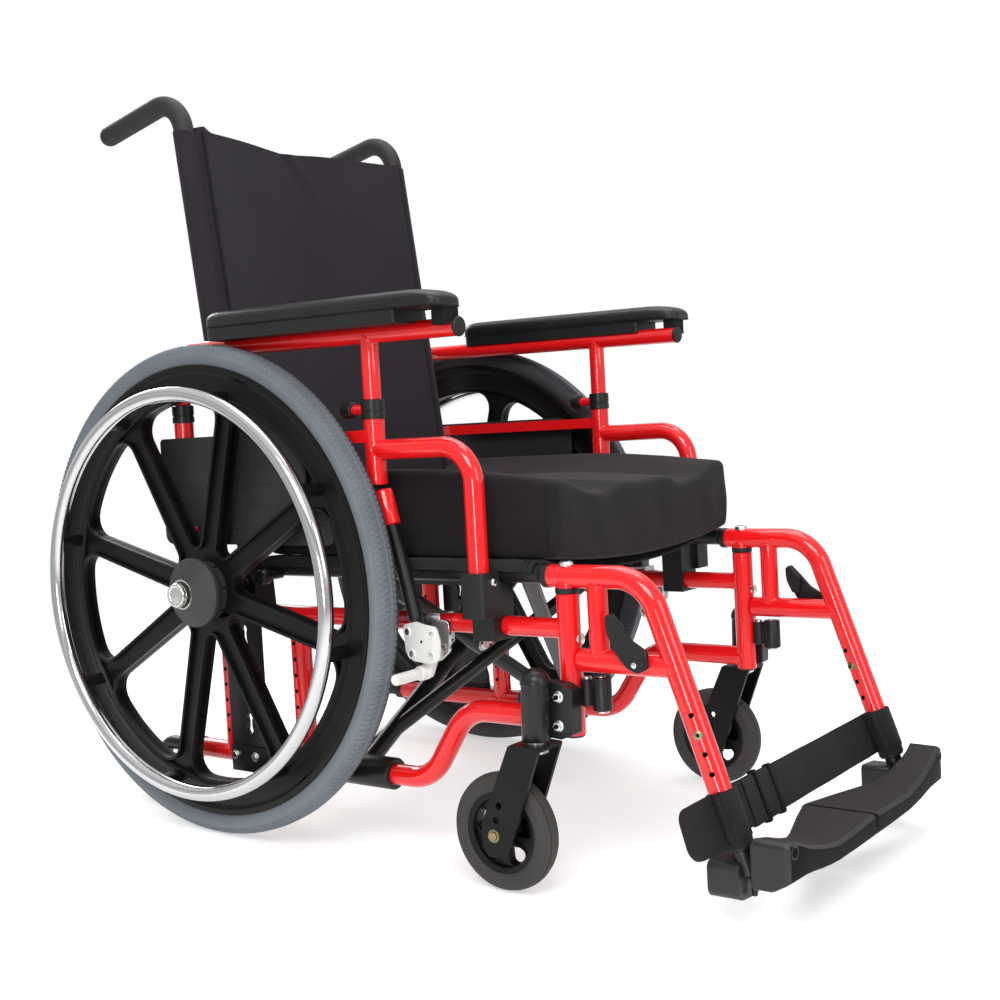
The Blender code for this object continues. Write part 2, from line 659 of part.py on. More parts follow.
# Foot brackets and footplates
BRACKET_FRONT_Y = hanger_y(HANGER_END_Z - 0.014)
foot_bracket = solid(
    hanger_tube(hanger_y(HANGER_END_Z - FIT), HANGER_END_Z - FIT, hanger_y(-0.275), -0.275, STUB_R),
    prism(rounded([(0.178, -0.303, 0.006), (0.224, -0.299, 0.010), (0.224, -0.262, 0.008),
                   (0.178, -0.258, 0.006)], 3), "y", BRACKET_FRONT_Y, BRACKET_FRONT_Y + 0.035),
    rod((FLIP_X, BRACKET_FRONT_Y + 0.005, FLIP_Z), (FLIP_X, -0.7175, FLIP_Z), FLIP_PIN_R),
)
add_pair("foot_bracket", foot_bracket, PLASTIC)

NOSE_Y = -0.7461           # the plates' straight front edge
SOLE_Z = -0.286
TREAD_Z = -0.2640          # height of the standing surface between the feet
FLIP_HEEL = FLIP_Z - 0.0070


def foot_section(x, rear, top_rear, ridge, set_back, sole, heel, under=0.0):
    """One slice across the footplate: top from the rear to the ridge, upright nose, sole and heel."""
    low = x + under
    nose_y = NOSE_Y + set_back
    return [(x, rear, top_rear), (x, nose_y + 0.0060, ridge), (low, nose_y, ridge - 0.004),
            (low, nose_y + 0.0005, sole + 0.003),
            (low, nose_y + 0.004, sole), (low, nose_y + 0.018, heel), (low, rear, heel)]


# The rear edge runs along the leg tube, so that the flipped plate stands clear in front of it
footplate = solid(
    loft([
        foot_section(0.2150, -0.7020, -0.2500, -0.2520, 0.0200, -0.2860, -0.2905),
        foot_section(0.2120, -0.7050, -0.2450, -0.2450, 0.0110, -0.2870, FLIP_HEEL),
        foot_section(0.1950, -0.7075, -0.2437, -0.2437, 0.0030, -0.2880, FLIP_HEEL),
        foot_section(0.1760, -0.7070, -0.2450, -0.2475, 0.0010, -0.2880, FLIP_HEEL),
        foot_section(0.1400, -0.7025, -0.2540, -0.2570, 0.0, -0.2870, SOLE_Z),
        foot_section(0.1000, -0.6890, -0.2600, TREAD_Z, 0.0, SOLE_Z + 0.0002, SOLE_Z),
        foot_section(0.0055, -0.6585, -0.2620, TREAD_Z, 0.0, SOLE_Z + 0.0002, SOLE_Z, 0.0070),
    ]),
    less=[hole((FLIP_X, BRACKET_FRONT_Y + 0.02, FLIP_Z), (FLIP_X, -0.7185, FLIP_Z), FLIP_PIN_R, TURN)],
)
add_pair("footplate", footplate, PLASTIC, (FLIP_X, BRACKET_FRONT_Y, FLIP_Z))


# Armrests
def arm_tube(corners, radius, bend=0.0):
    return sweep([(ARM_X, y, z) for y, z in corners], radius, bend)


COLLAR_Z = 0.202
SLEEVE_FLOOR = 0.112
SOCKET_FLOOR = -0.020
arm_lower = solid(
    arm_tube([(ARM_POST_Y, SLEEVE_FLOOR + 0.013), (ARM_POST_Y, COLLAR_Z)], ARM_R),
    arm_tube([(ARM_POST_Y, COLLAR_Z - 0.002), (ARM_POST_Y, COLLAR_Z + 0.021)], ARM_R + 0.0016),
    arm_tube([(ARM_POST_Y, ARM_LOOP_Z), (ARM_LOOP_Y, ARM_LOOP_Z), (ARM_LOOP_Y, SOCKET_FLOOR)], LOOP_R,
             0.042),
    arm_tube([(ARM_REAR_Y, SOCKET_FLOOR), (ARM_REAR_Y, COLLAR_Z + 0.010)], ARM_R),
    arm_tube([(ARM_REAR_Y, COLLAR_Z + 0.008), (ARM_REAR_Y, COLLAR_Z + 0.031)], ARM_R + 0.0016),
    block((ARM_X - 0.004, ARM_X + ARM_R), (ARM_POST_Y, ARM_REAR_Y), (0.174, 0.188)),
    arm_tube([(ARM_POST_Y, COLLAR_Z + 0.010), (ARM_POST_Y + 0.034, COLLAR_Z + 0.010)], 0.0060),
    arm_tube([(ARM_POST_Y + 0.030, COLLAR_Z + 0.010), (ARM_POST_Y + 0.045, COLLAR_Z + 0.010)], 0.0085),
    less=[arm_tube([(y, SLEEVE_FLOOR + 0.018), (y, COLLAR_Z + 0.05)], RAIL_R + FIT)
          for y in (ARM_POST_Y, ARM_REAR_Y)],
)
add_pair("arm_lower", arm_lower, PAINT, (ARM_X, ARM_LOOP_Y, SOCKET_FLOOR))


def rail_z(y):
    return ARM_RAIL_Z + (y - ARM_POST_Y) * ARM_RAIL_DROOP


arm_upper = solid(
    arm_tube([(ARM_RAIL_FRONT_Y, rail_z(ARM_RAIL_FRONT_Y)), (ARM_REAR_Y, rail_z(ARM_REAR_Y)),
              (ARM_REAR_Y, SLEEVE_FLOOR + 0.019)], RAIL_R, 0.028),
    arm_tube([(ARM_POST_Y, SLEEVE_FLOOR + 0.019), (ARM_POST_Y, rail_z(ARM_POST_Y))], RAIL_R),
)
add_pair("arm_upper", arm_upper, PAINT, (ARM_X, ARM_POST_Y, COLLAR_Z))


def pad_ring(share, y):
    """The pad's cross-section: a flat base and a crowned top, drawn in at the ends."""
    low = PAD_BASE + (y - ARM_POST_Y) * ARM_RAIL_DROOP
    w = PAD_HALF * share
    tall = PAD_THICK * (0.55 + 0.45 * share)
    across = [(-w, 0.005), (-w + 0.003, 0.0), (w - 0.003, 0.0), (w, 0.005), (w, tall * 0.62),
              (w * 0.86, tall * 0.88), (w * 0.45, tall * 0.99), (-w * 0.45, tall * 0.99),
              (-w * 0.86, tall * 0.88), (-w, tall * 0.62)]
    return [(PAD_X + a, y, low + b) for a, b in across]


pad_ends = [(0.0, 0.62), (0.004, 0.78), (0.012, 0.92), (0.026, 1.0)]
pad_rings = [pad_ring(share, PAD_FRONT_Y + inset) for inset, share in pad_ends]
pad_rings += [pad_ring(share, PAD_REAR_Y - inset) for inset, share in reversed(pad_ends)]
arm_pad = solid(loft(pad_rings), less=[arm_tube([(y, rail_z(y)) for y in (-0.45, 0.04)], RAIL_R + FIT)])
add_pair("arm_pad", arm_pad, PLASTIC)

panel_x = ARM_X + ARM_R + FIT
panel_outline = rounded([(-0.200, 0.055, 0.012), (0.100, 0.055, 0.012), (0.100, 0.191, 0.006),
                         (-0.200, 0.191, 0.020)], 3)
side_panel = solid(
    prism(panel_outline, "x", panel_x, panel_x + PANEL_THICK - 0.0006),
    *[block((panel_x + 0.001, panel_x + PANEL_THICK), (-0.185, 0.092), (z, z + 0.004))
      for z in (0.075, 0.100, 0.125)],
)
add_pair("side_panel", side_panel, PLASTIC)

# Sockets on the mid tube: armrest seats, seat-rail cradle and the cane's foot
mid_bore = rod((FRAME_X, -0.5, MID_Z), (FRAME_X, 0.2, MID_Z), MID_R + FIT)
front_socket = solid(
    prism(rounded([(ARM_X - 0.0155, ARM_LOOP_Y - 0.016, 0), (ARM_X + 0.0155, ARM_LOOP_Y - 0.016, 0.004),
                   (ARM_X + 0.0155, ARM_LOOP_Y + 0.016, 0.004),
                   (ARM_X - 0.0155, ARM_LOOP_Y + 0.016, 0)], 2),
          "z", SOCKET_FLOOR - 0.004, 0.026),
    prism([(ARM_LOOP_Y - 0.009, -0.052), (ARM_LOOP_Y + 0.021, -0.052),
           (ARM_LOOP_Y + 0.021, SEAT_RAIL_Z), (ARM_LOOP_Y - 0.009, SEAT_RAIL_Z)], "x",
          FRAME_X - MID_R - 0.0035, ARM_X - 0.010),
    less=[mid_bore,
          rod((FRAME_X, -0.5, SEAT_RAIL_Z), (FRAME_X, -0.3, SEAT_RAIL_Z), SEAT_RAIL_R + FIT),
          arm_tube([(ARM_LOOP_Y, SOCKET_FLOOR - FIT), (ARM_LOOP_Y, 0.05)], LOOP_R + FIT)],
)
add_pair("front_socket", front_socket, PLASTIC)


def cane_y(z):
    return CANE_Y + z * math.tan(math.radians(CANE_LEAN))


CANE_FOOT = -0.018
cane_line = ((FRAME_X, cane_y(CANE_FOOT - FIT), CANE_FOOT - FIT), (FRAME_X, cane_y(0.1), 0.1))
rear_socket = solid(
    prism([(REAR_SOCKET_Y, -0.053), (0.090, -0.053), (0.090, -0.021), (0.020, -0.021), (0.016, 0.030),
           (-0.024, 0.030)], "x",
          FRAME_X - 0.0165, PLATE_X - FIT),
    block((FRAME_X, ARM_X + 0.0155), (ARM_REAR_Y - 0.016, ARM_REAR_Y + 0.016), (-0.050, 0.012)),
    less=[mid_bore, rod(*cane_line, CANE_R + FIT),
          rod((FRAME_X, UPRIGHT_REAR_Y, LOWER_RAIL_Z), (FRAME_X, UPRIGHT_REAR_Y, MID_Z + FIT),
              UPRIGHT_R + FIT),
          arm_tube([(ARM_REAR_Y, SOCKET_FLOOR - FIT), (ARM_REAR_Y, 0.05)], ARM_R + FIT)],
)
add_pair("rear_socket", rear_socket, PLASTIC)

# Back canes with their push-handle grips
droop = math.radians(HANDLE_DROOP)
handle_top_y = cane_y(HANDLE_Z)
grip_start_y = handle_top_y + HANDLE_BEND_R * 1.12
tip_z = HANDLE_Z - (HANDLE_TIP_Y - handle_top_y) * math.tan(droop)


def handle_z(y):
    return HANDLE_Z - (y - handle_top_y) * math.tan(droop)


back_cane = solid(
    sweep([(FRAME_X, cane_y(CANE_FOOT), CANE_FOOT), (FRAME_X, handle_top_y, HANDLE_Z),
           (FRAME_X, HANDLE_TIP_Y - 0.004, handle_z(HANDLE_TIP_Y - 0.004))], CANE_R, HANDLE_BEND_R),
    rod((FRAME_X, grip_start_y, handle_z(grip_start_y)),
        (FRAME_X, HANDLE_TIP_Y, handle_z(HANDLE_TIP_Y)), GRIP_R),
)
add_pair("back_cane", back_cane, RUBBER)


# Back upholstery: one cloth that wraps each cane, slack between them
def back_half(sag):
    """The right half of the cut through the cloth, as (x, distance behind the canes' axis)."""
    face = [(x, -0.026 + sag * (1 - (x / FRAME_X) ** 2)) for x in (0.0, 0.045, 0.090, 0.130, 0.165)]
    outer = arc((FRAME_X, 0), WRAP_R, -95, 85, 6)
    sleeve = arc((FRAME_X, 0), (CANE_R + FIT) / 0.95, 80, -258, 10)
    rear = [(FRAME_X - 0.0035, WRAP_R - 0.0004)] + [(x, -0.003 + sag * (1 - (x / FRAME_X) ** 2))
                                          for x in (0.160, 0.115, 0.060, 0.0)]
    return face, outer, sleeve, rear


def back_ring(share):
    """One slice of the cloth square to the canes, low to high, its middle hanging a little lower on top."""
    sag = 0.020 + 0.010 * math.sin(math.pi * share)
    face, outer, sleeve, rear = back_half(sag)
    half_cut = face + outer + sleeve + rear[:-1]
    cut = half_cut + [rear[-1]] + [(-x, d) for x, d in reversed(half_cut[1:])]
    ring = []
    for x, d in cut:
        top = 0.591 - 0.016 * (1 - min(1.0, abs(x) / FRAME_X) ** 2)
        z = 0.052 + (top - 0.052) * share
        ring.append((x, cane_y(z) + d, z))
    return ring


back = mesh_of(loft([back_ring(share) for share in (0, 0.03, 0.5, 0.97, 1)]))
add("back_upholstery", back, FABRIC)

# Seat sling: slack cloth over both seat rails
SLING_IN_R = SEAT_RAIL_R + 2 * FIT
SLING_TOP_R = SLING_IN_R + SLING_THICK


def sling_sag(x):
    return SLING_SAG * max(0.0, 1 - (x / (FRAME_X - 0.012)) ** 2)


def sling_half(thick):
    span = [(x, SEAT_RAIL_Z + SLING_IN_R + thick - sling_sag(x)) for x in (0.0, 0.06, 0.12, 0.17)]
    hem = arc((FRAME_X, SEAT_RAIL_Z), SLING_IN_R + thick, 95, 12, 4)
    return span + hem


upper, lower = sling_half(SLING_THICK), sling_half(0)
sling_cut = upper + lower[::-1] + [(-x, z) for x, z in lower[1:]] + [(-x, z) for x, z in upper[:0:-1]]
add("seat_sling", mesh_of(prism(sling_cut, "y", -0.455, -0.040)), FABRIC)


# Seat cushion: crowned foam with a trough for each thigh
def trough(x):
    away = abs(abs(x) - 0.100) / 0.090
    return math.cos(away * math.pi / 2) ** 2 if away < 1 else 0.0


def cushion_top(x, y):
    share = min(1.0, max(0.0, (y - CUSHION_FRONT_Y) / (CUSHION_REAR_Y - CUSHION_FRONT_Y)))
    edge = CUSHION_TOP + CUSHION_RISE * math.sin(math.pi / 2 * min(1.0, share / 0.5))
    bowl = 0.022 * math.sin(math.pi / 2 * share) * (1 - (x / CUSHION_HALF) ** 4)
    return edge - 0.022 * trough(x) * (1 - 0.75 * share) - bowl


def cushion_ring(y, inset):
    """One slice across the cushion; the inset draws its edges in at the front and rear faces."""
    w = CUSHION_HALF - inset
    base = SEAT_RAIL_Z + SLING_TOP_R + 2 * FIT
    shares = [-1, -0.8, -0.6, -0.35, 0, 0.35, 0.6, 0.8, 1]
    low = [(w * 0.985 * s, base - sling_sag(w * 0.985 * s) + inset * 0.5) for s in shares]
    crown = [-0.96, -0.86, -0.72, -0.60, -0.48, -0.34, -0.20, 0, 0.20, 0.34, 0.48, 0.60, 0.72, 0.86, 0.96]
    high = [(w * s, cushion_top(w * s, y) - inset) for s in reversed(crown)]
    side = [(w, base + 0.010), (w + 0.0008, base + 0.045), (w - 0.001, cushion_top(w, y) - 0.009 - inset)]
    return [(x, y, z) for x, z in low + side + high + [(-x, z) for x, z in reversed(side)]]


cushion_length = CUSHION_REAR_Y - CUSHION_FRONT_Y
slices = [(0.0, 0.007), (0.003, 0.0015), (0.010, 0.0), (0.12, 0.0), (0.25, 0.0), (0.35, 0.0),
          (cushion_length - 0.006, 0.0), (cushion_length, 0.006)]
cushion = mesh_of(loft([cushion_ring(CUSHION_FRONT_Y + along, inset) for along, inset in slices]))
add("seat_cushion", cushion, FABRIC)

# Cross braces: each turns on one lower rail and carries the seat rail of the other side
PIVOT_Z = (LOWER_RAIL_Z + SEAT_RAIL_Z) / 2
SLEEVE_FRONT_Y = -0.232
SLEEVE_REAR_Y = -0.124


def brace(side, main_y, arm_low_y, arm_high_y):
    """A welded brace whose sleeve is at the side given by the sign."""
    low = (side * FRAME_X, LOWER_RAIL_Z)
    high = (-side * FRAME_X, SEAT_RAIL_Z)
    return combine(
        mesh_of(rod((low[0], SLEEVE_FRONT_Y, low[1]), (low[0], SLEEVE_REAR_Y, low[1]), SLEEVE_R)),
        [rod((low[0], main_y, low[1]), (high[0], main_y, high[1]), CROSS_R, 12),
         rod((low[0], arm_low_y, low[1]), (high[0], arm_high_y, high[1]), CROSS_ARM_R, 12),
         rod((high[0], SEAT_RAIL_FRONT_Y, high[1]), (high[0], SEAT_RAIL_REAR_Y, high[1]), SEAT_RAIL_R)],
        "UNION"), hole((low[0], -0.3, low[1]), (low[0], -0.05, low[1]), MAIN_R, FIT)


BRACE_A_Y = -0.1775
BRACE_B_Y = -0.2025
brace_a, bore_a = brace(-1, BRACE_A_Y, -0.150, -0.345)
brace_a = combine(brace_a, [bore_a], "DIFFERENCE")
brace_a = combine(brace_a, [
    rod((0, BRACE_A_Y, PIVOT_Z), (0, BRACE_B_Y - CROSS_R - 0.001, PIVOT_Z), 0.0055, 12),
    rod((0, BRACE_B_Y - CROSS_R - 0.0006, PIVOT_Z), (0, BRACE_B_Y - CROSS_R - 0.006, PIVOT_Z), 0.0095, 12),
], "UNION")
brace_b, bore_b = brace(1, BRACE_B_Y, -0.218, -0.440)
brace_b = combine(brace_b, [
    bore_b, hole((0, BRACE_B_Y - 0.05, PIVOT_Z), (0, BRACE_B_Y + 0.05, PIVOT_Z), 0.0055, TURN),
], "DIFFERENCE")
DARK_STEEL = (BLACK, 0.35, 0.0)
add("cross_brace_a", brace_a, DARK_STEEL, (-FRAME_X, BRACE_A_Y, LOWER_RAIL_Z))
add("cross_brace_b", brace_b, DARK_STEEL, (0, BRACE_B_Y, PIVOT_Z))

# Wheel locks
LOCK_X = 0.2360
lock_outline = rounded([
    (LOCK_Y + a, z, radius)
    for a, z, radius in ((-0.032, -0.030, 0.006), (-0.030, -0.064, 0.008), (-0.015, -0.076, 0.006),
                         (0.010, -0.074, 0.008), (0.023, -0.050, 0.006), (0.025, -0.031, 0.006),
                         (0.004, -0.026, 0.004))
], 3)
lock_plate = solid(
    prism(lock_outline, "x", LOCK_X, LOCK_X + 0.0045),
    block((FRAME_X + MID_R - 0.004, LOCK_X + 0.002), (LOCK_Y - 0.017, LOCK_Y + 0.019), (-0.054, -0.022)),
    rod((LOCK_X, LOCK_Y, LOCK_Z), (LOCK_X + 0.0130, LOCK_Y, LOCK_Z), 0.0038, 12),
    rod((LOCK_X, SHOE_Y - 0.0185, LOCK_Z - 0.012), (LOCK_X + 0.0130, SHOE_Y - 0.0185, LOCK_Z - 0.012),
        0.0038, 12),
    less=[mid_bore],
)
CAST = ((0.55, 0.55, 0.53), 0.45, 0.8)
add_pair("lock_plate", lock_plate, CAST)

LEVER_X = LOCK_X + 0.0045 + FIT
lever_path = [(LOCK_Y + 0.002, LOCK_Z + 0.004), (LOCK_Y + 0.002, LOCK_Z + 0.018),
              (LOCK_Y + 0.0255, 0.040), (LOCK_Y + 0.039, 0.0830)]
lock_lever = solid(
    sweep([(LEVER_X + 0.0058, *lever_path[0]), (LEVER_X + 0.0058, *lever_path[1]), (ARM_X, *lever_path[2]),
           (ARM_X, *lever_path[3])], 0.0055, 0.010, 8),
    rod((LEVER_X, LOCK_Y, LOCK_Z), (LEVER_X + 0.0080, LOCK_Y, LOCK_Z), 0.0069),
    rod((ARM_X, LOCK_Y + 0.037, 0.0790), (ARM_X, LOCK_Y + 0.0495, 0.1205), 0.0095),
    less=[hole((LEVER_X - 0.01, LOCK_Y, LOCK_Z), (LEVER_X + 0.02, LOCK_Y, LOCK_Z), 0.0038, TURN)],
)
add_pair("lock_lever", lock_lever, PLASTIC, (LEVER_X, LOCK_Y, LOCK_Z))

SHOE_PIVOT = (SHOE_Y - 0.0185, LOCK_Z - 0.012)
shoe_arm = rounded([(SHOE_PIVOT[0] - 0.007, SHOE_PIVOT[1] + 0.007, 0.005),
                    (SHOE_PIVOT[0] + 0.008, SHOE_PIVOT[1] + 0.003, 0.005),
                    (SHOE_Y + 0.007, SHOE_Z - 0.001, 0.005), (SHOE_Y - 0.008, SHOE_Z - 0.008, 0.005)], 3)
lock_shoe = solid(
    prism(shoe_arm[::-1], "x", LEVER_X, LEVER_X + 0.0060),
    rod((LEVER_X + 0.001, SHOE_Y, SHOE_Z), (TYRE_X + 0.020, SHOE_Y, SHOE_Z), SHOE_R),
    less=[hole((LEVER_X - 0.01, *SHOE_PIVOT), (LEVER_X + 0.02, *SHOE_PIVOT), 0.0038, TURN)],
)
add_pair("lock_shoe", lock_shoe, CAST, (LEVER_X, *SHOE_PIVOT))

# Anti-tip wheels
ANTI_AXLE = (0.2030, -0.2610)
anti_tip = solid(
    sweep([(FRAME_X, LOWER_RAIL_END_Y - 0.030, LOWER_RAIL_Z), (FRAME_X, 0.183, LOWER_RAIL_Z),
           (FRAME_X, ANTI_AXLE[0], ANTI_AXLE[1] + 0.002)], ANTI_TIP_R, 0.022),
    rod((FRAME_X - 0.004, *ANTI_AXLE), (FRAME_X + 0.026, *ANTI_AXLE), 0.0045, 12),
)
add_pair("anti_tip", anti_tip, PLASTIC, (FRAME_X, LOWER_RAIL_END_Y, LOWER_RAIL_Z))
anti_x = FRAME_X + ANTI_TIP_R + 0.0015
anti_wheel = mesh_of(revolve([
    (0.0045 + TURN, anti_x), (0.018, anti_x), (ANTI_WHEEL_R, anti_x + 0.003),
    (ANTI_WHEEL_R, anti_x + 0.010), (0.018, anti_x + 0.013), (0.0045 + TURN, anti_x + 0.013),
], ANTI_AXLE, 20))
add_pair("anti_tip_wheel", anti_wheel, RUBBER, (anti_x, *ANTI_AXLE))


# Heel strap: a webbing band whose ends wrap both leg tubes
def strap_cut():
    """The cut square to the leg tubes, as (x, distance behind their axis)."""
    near = MAIN_R + FIT
    far = near + STRAP_THICK
    span = [0.0, 0.06, 0.12, 0.17]

    def slack(x):
        return 0.012 * (1 - (x / 0.19) ** 2)

    back_face = [(x, far + slack(x)) for x in span]
    front_face = [(x, near + slack(x)) for x in span]
    outer = arc((FRAME_X, 0), far / 0.96, 90, -230, 10)
    inner = arc((FRAME_X, 0), near / 0.96, -230, 90, 10)
    half_cut = back_face + outer + inner + front_face[::-1]
    return half_cut[:-1] + [half_cut[-1]] + [(-x, d) for x, d in reversed(half_cut[1:-1])]


lean = math.radians(HANGER_LEAN)


def strap_ring(along):
    """The cut, moved along the leg tubes from the strap's upper edge."""
    top = (hanger_y(-0.194), -0.194)
    return [(x, top[0] + d * math.cos(lean) - along * math.sin(lean),
             top[1] - d * math.sin(lean) - along * math.cos(lean))
            for x, d in strap_cut()]


add("heel_strap", mesh_of(loft([strap_ring(STRAP_TALL * s) for s in (0, 0.5, 1)])), FABRIC)
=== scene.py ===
"""Looks of the folding wheelchair: smooth tubes, cast wheels, fittings, cushion, back cloth and straps.

Pieces are drawn once for the left side, in the frame's own axes (x sideways, y backwards and z upwards
from the rear axle) or in level axes from the ground under the axle, then placed and mirrored. Lengths are
in metres. A profile's points are (radius, height), and an outline's are (a, b) or (a, b, corner radius).
"""

import json
import math

import bmesh
import bpy
import numpy as np
from mathutils import Matrix, Vector, noise
from mathutils.geometry import tessellate_polygon


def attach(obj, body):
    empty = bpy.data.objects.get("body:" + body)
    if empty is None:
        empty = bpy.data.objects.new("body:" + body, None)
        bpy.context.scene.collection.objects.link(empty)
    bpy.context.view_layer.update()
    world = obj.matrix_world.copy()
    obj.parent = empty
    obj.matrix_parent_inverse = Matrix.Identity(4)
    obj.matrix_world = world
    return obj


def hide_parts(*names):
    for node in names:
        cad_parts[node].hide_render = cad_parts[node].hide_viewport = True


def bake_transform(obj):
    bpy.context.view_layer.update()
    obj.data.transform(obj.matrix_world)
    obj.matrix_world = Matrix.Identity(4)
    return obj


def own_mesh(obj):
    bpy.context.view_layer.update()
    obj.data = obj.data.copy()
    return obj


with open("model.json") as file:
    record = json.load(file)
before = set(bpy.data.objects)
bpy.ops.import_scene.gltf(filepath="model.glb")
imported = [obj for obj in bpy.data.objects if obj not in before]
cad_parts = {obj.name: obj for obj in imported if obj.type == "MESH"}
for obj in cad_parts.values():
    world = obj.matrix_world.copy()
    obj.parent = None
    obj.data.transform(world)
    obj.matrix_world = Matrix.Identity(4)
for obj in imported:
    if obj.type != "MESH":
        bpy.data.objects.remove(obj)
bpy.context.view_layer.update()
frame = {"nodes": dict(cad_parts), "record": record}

AXLE_Y, TYRE_R, FRAME_X = 0.2258, 0.305, 0.206
FRAME_RAKE = math.radians(-2.3)
ON_FRAME = Matrix.Translation((0, AXLE_Y, TYRE_R)) @ Matrix.Rotation(FRAME_RAKE, 4, "X")
ON_GROUND = Matrix.Translation((0, AXLE_Y, 0))
OUT, REAR, FRONT, UP, DOWN = (1, 0, 0), (0, 1, 0), (0, -1, 0), (0, 0, 1), (0, 0, -1)
SHARP_ANGLE, BEVEL_ANGLE = 38, 50


# Shapes: each function returns (points, faces)
def place(axis, a, b, along):
    return {"x": Vector((along, a, b)), "y": Vector((a, along, b)), "z": Vector((a, b, along))}[axis]


def skin(rings, sides, closed=False):
    faces = [] if closed else [tuple(reversed(range(sides)))]
    for r in range(rings if closed else rings - 1):
        s = (r + 1) % rings
        for k in range(sides):
            n = (k + 1) % sides
            faces.append((r * sides + k, r * sides + n, s * sides + n, s * sides + k))
    if not closed:
        faces.append(tuple(range((rings - 1) * sides, rings * sides)))
    return faces


def loft(rings, closed=False):
    return [Vector(p) for ring in rings for p in ring], skin(len(rings), len(rings[0]), closed)


def bent(corners, bend, step=5):
    """The line through the corners, with each inner one rounded in steps of so many degrees."""
    corners = [Vector(c) for c in corners]
    path = [corners[0]]
    for before, corner, after in zip(corners, corners[1:], corners[2:]):
        into = (corner - before).normalized()
        out = (after - corner).normalized()
        turn = into.angle(out)
        if turn < 0.01:
            path.append(corner)
            continue
        centre = corner + (out - into).normalized() * bend / math.cos(turn / 2)
        axis = into.cross(out).normalized()
        start = corner - into * bend * math.tan(turn / 2)
        steps = max(2, round(math.degrees(turn) / step))
        for i in range(steps + 1):
            path.append(centre + Matrix.Rotation(turn * i / steps, 3, axis) @ (start - centre))
    return [*path, corners[-1]]


def tube(path, radius, sides=28, edge=0.0008, closed=False):
    """A round bar along a path; radius is a number, or a function of the share along the points."""
    path = [Vector(p) for p in path]
    if not closed and edge:
        first = (path[1] - path[0]).normalized()
        last = (path[-1] - path[-2]).normalized()
        path = [path[0], path[0] + first * edge, *path[1:-1], path[-1] - last * edge, path[-1]]
    count = len(path)
    rings = []
    side = None
    for i, centre in enumerate(path):
        if closed:
            ahead = (path[(i + 1) % count] - path[i - 1]).normalized()
        else:
            ahead = (path[min(i + 1, count - 1)] - path[max(i - 1, 0)]).normalized()
        if side is None:
            side = ahead.cross(Vector(OUT))
            if side.length < 0.1:
                side = ahead.cross(Vector(UP))
        side = (side - ahead * side.dot(ahead)).normalized()
        up = ahead.cross(side)
        r = radius(i / (count - 1)) if callable(radius) else radius
        if not closed and edge and i in (0, count - 1):
            r -= edge
        turns = [math.tau * k / sides for k in range(sides)]
        rings.append([centre + (side * math.cos(a) + up * math.sin(a)) * r for a in turns])
    return loft(rings, closed)


def rod(start, end, radius, sides=28, edge=0.0008):
    return tube([start, end], radius, sides, edge)


def plate(outer, holes, axis, low, high):
    """A flat piece with holes."""
    loops = [list(outer), *[list(h) for h in holes]]
    flat = [(a, b) for loop in loops for a, b in loop]
    found = tessellate_polygon([[Vector((a, b, 0)) for a, b in loop] for loop in loops])
    n = len(flat)
    points = [place(axis, a, b, level) for level in (low, high) for a, b in flat]
    faces = [tuple(t) for t in found] + [tuple(i + n for i in reversed(t)) for t in found]
    start = 0
    for loop in loops:
        m = len(loop)
        for k in range(m):
            a, b = start + k, start + (k + 1) % m
            faces.append((a, b, b + n, a + n))
        start += m
    return points, faces


def prism(outline, axis, low, high):
    return loft([[place(axis, a, b, level) for a, b in outline] for level in (low, high)])


def block(x, y, z):
    return prism([(x[0], y[0]), (x[1], y[0]), (x[1], y[1]), (x[0], y[1])], "z", *z)


def polar(centre, radius, angle):
    return centre[0] + radius * math.cos(angle), centre[1] + radius * math.sin(angle)


def circle(centre, radius, steps=20):
    return [polar(centre, radius, math.tau * k / steps) for k in range(steps)]


def arc(centre, radius, start, end, steps):
    return [polar(centre, radius, math.radians(start + (end - start) * k / steps)) for k in range(steps + 1)]


def revolve(profile, centre, steps, at=0.0, wave=None):
    """A ring about an axle along x, from (radius, x); wave(step, point number) is added to the radius."""
    rings = []
    for i in range(steps):
        radii = [r + (wave(i, k) if wave else 0) for k, (r, x) in enumerate(profile)]
        rings.append([(at + x, *polar(centre, r, math.tau * i / steps)) for r, (_, x) in zip(radii, profile)])
    return loft(rings, closed=True)


def both_halves(half, middle=()):
    """A wheel's (radius, x, corner radius) profile from its inner half."""
    return [*half, *middle, *[(r, -x, corner) for r, x, corner in reversed(half)]]


def turned(profile, foot, direction=UP, steps=32):
    """A solid of revolution: (radius, height) from its foot along a direction."""
    turn = Vector(direction).to_track_quat("Z", "Y").to_matrix()
    return loft([[Vector(foot) + turn @ Vector((*polar((0, 0), r, math.tau * k / steps), h))
                  for k in range(steps)] for r, h in profile])


def rounded(corners, steps=6):
    outline = []
    for i, (a, b, radius) in enumerate(corners):
        here = Vector((a, b))
        into = (here - Vector(corners[i - 1][:2])).normalized()
        out = (Vector(corners[(i + 1) % len(corners)][:2]) - here).normalized()
        turn = into.angle(out)
        if radius == 0 or turn < 0.02:
            outline.append((a, b))
            continue
        centre = here + (out - into).normalized() * radius / math.cos(turn / 2)
        start = here - into * radius * math.tan(turn / 2)
        sign = 1 if into.cross(out) > 0 else -1
        for k in range(steps + 1):
            outline.append(tuple(centre + Matrix.Rotation(sign * turn * k / steps, 2) @ (start - centre)))
    return outline


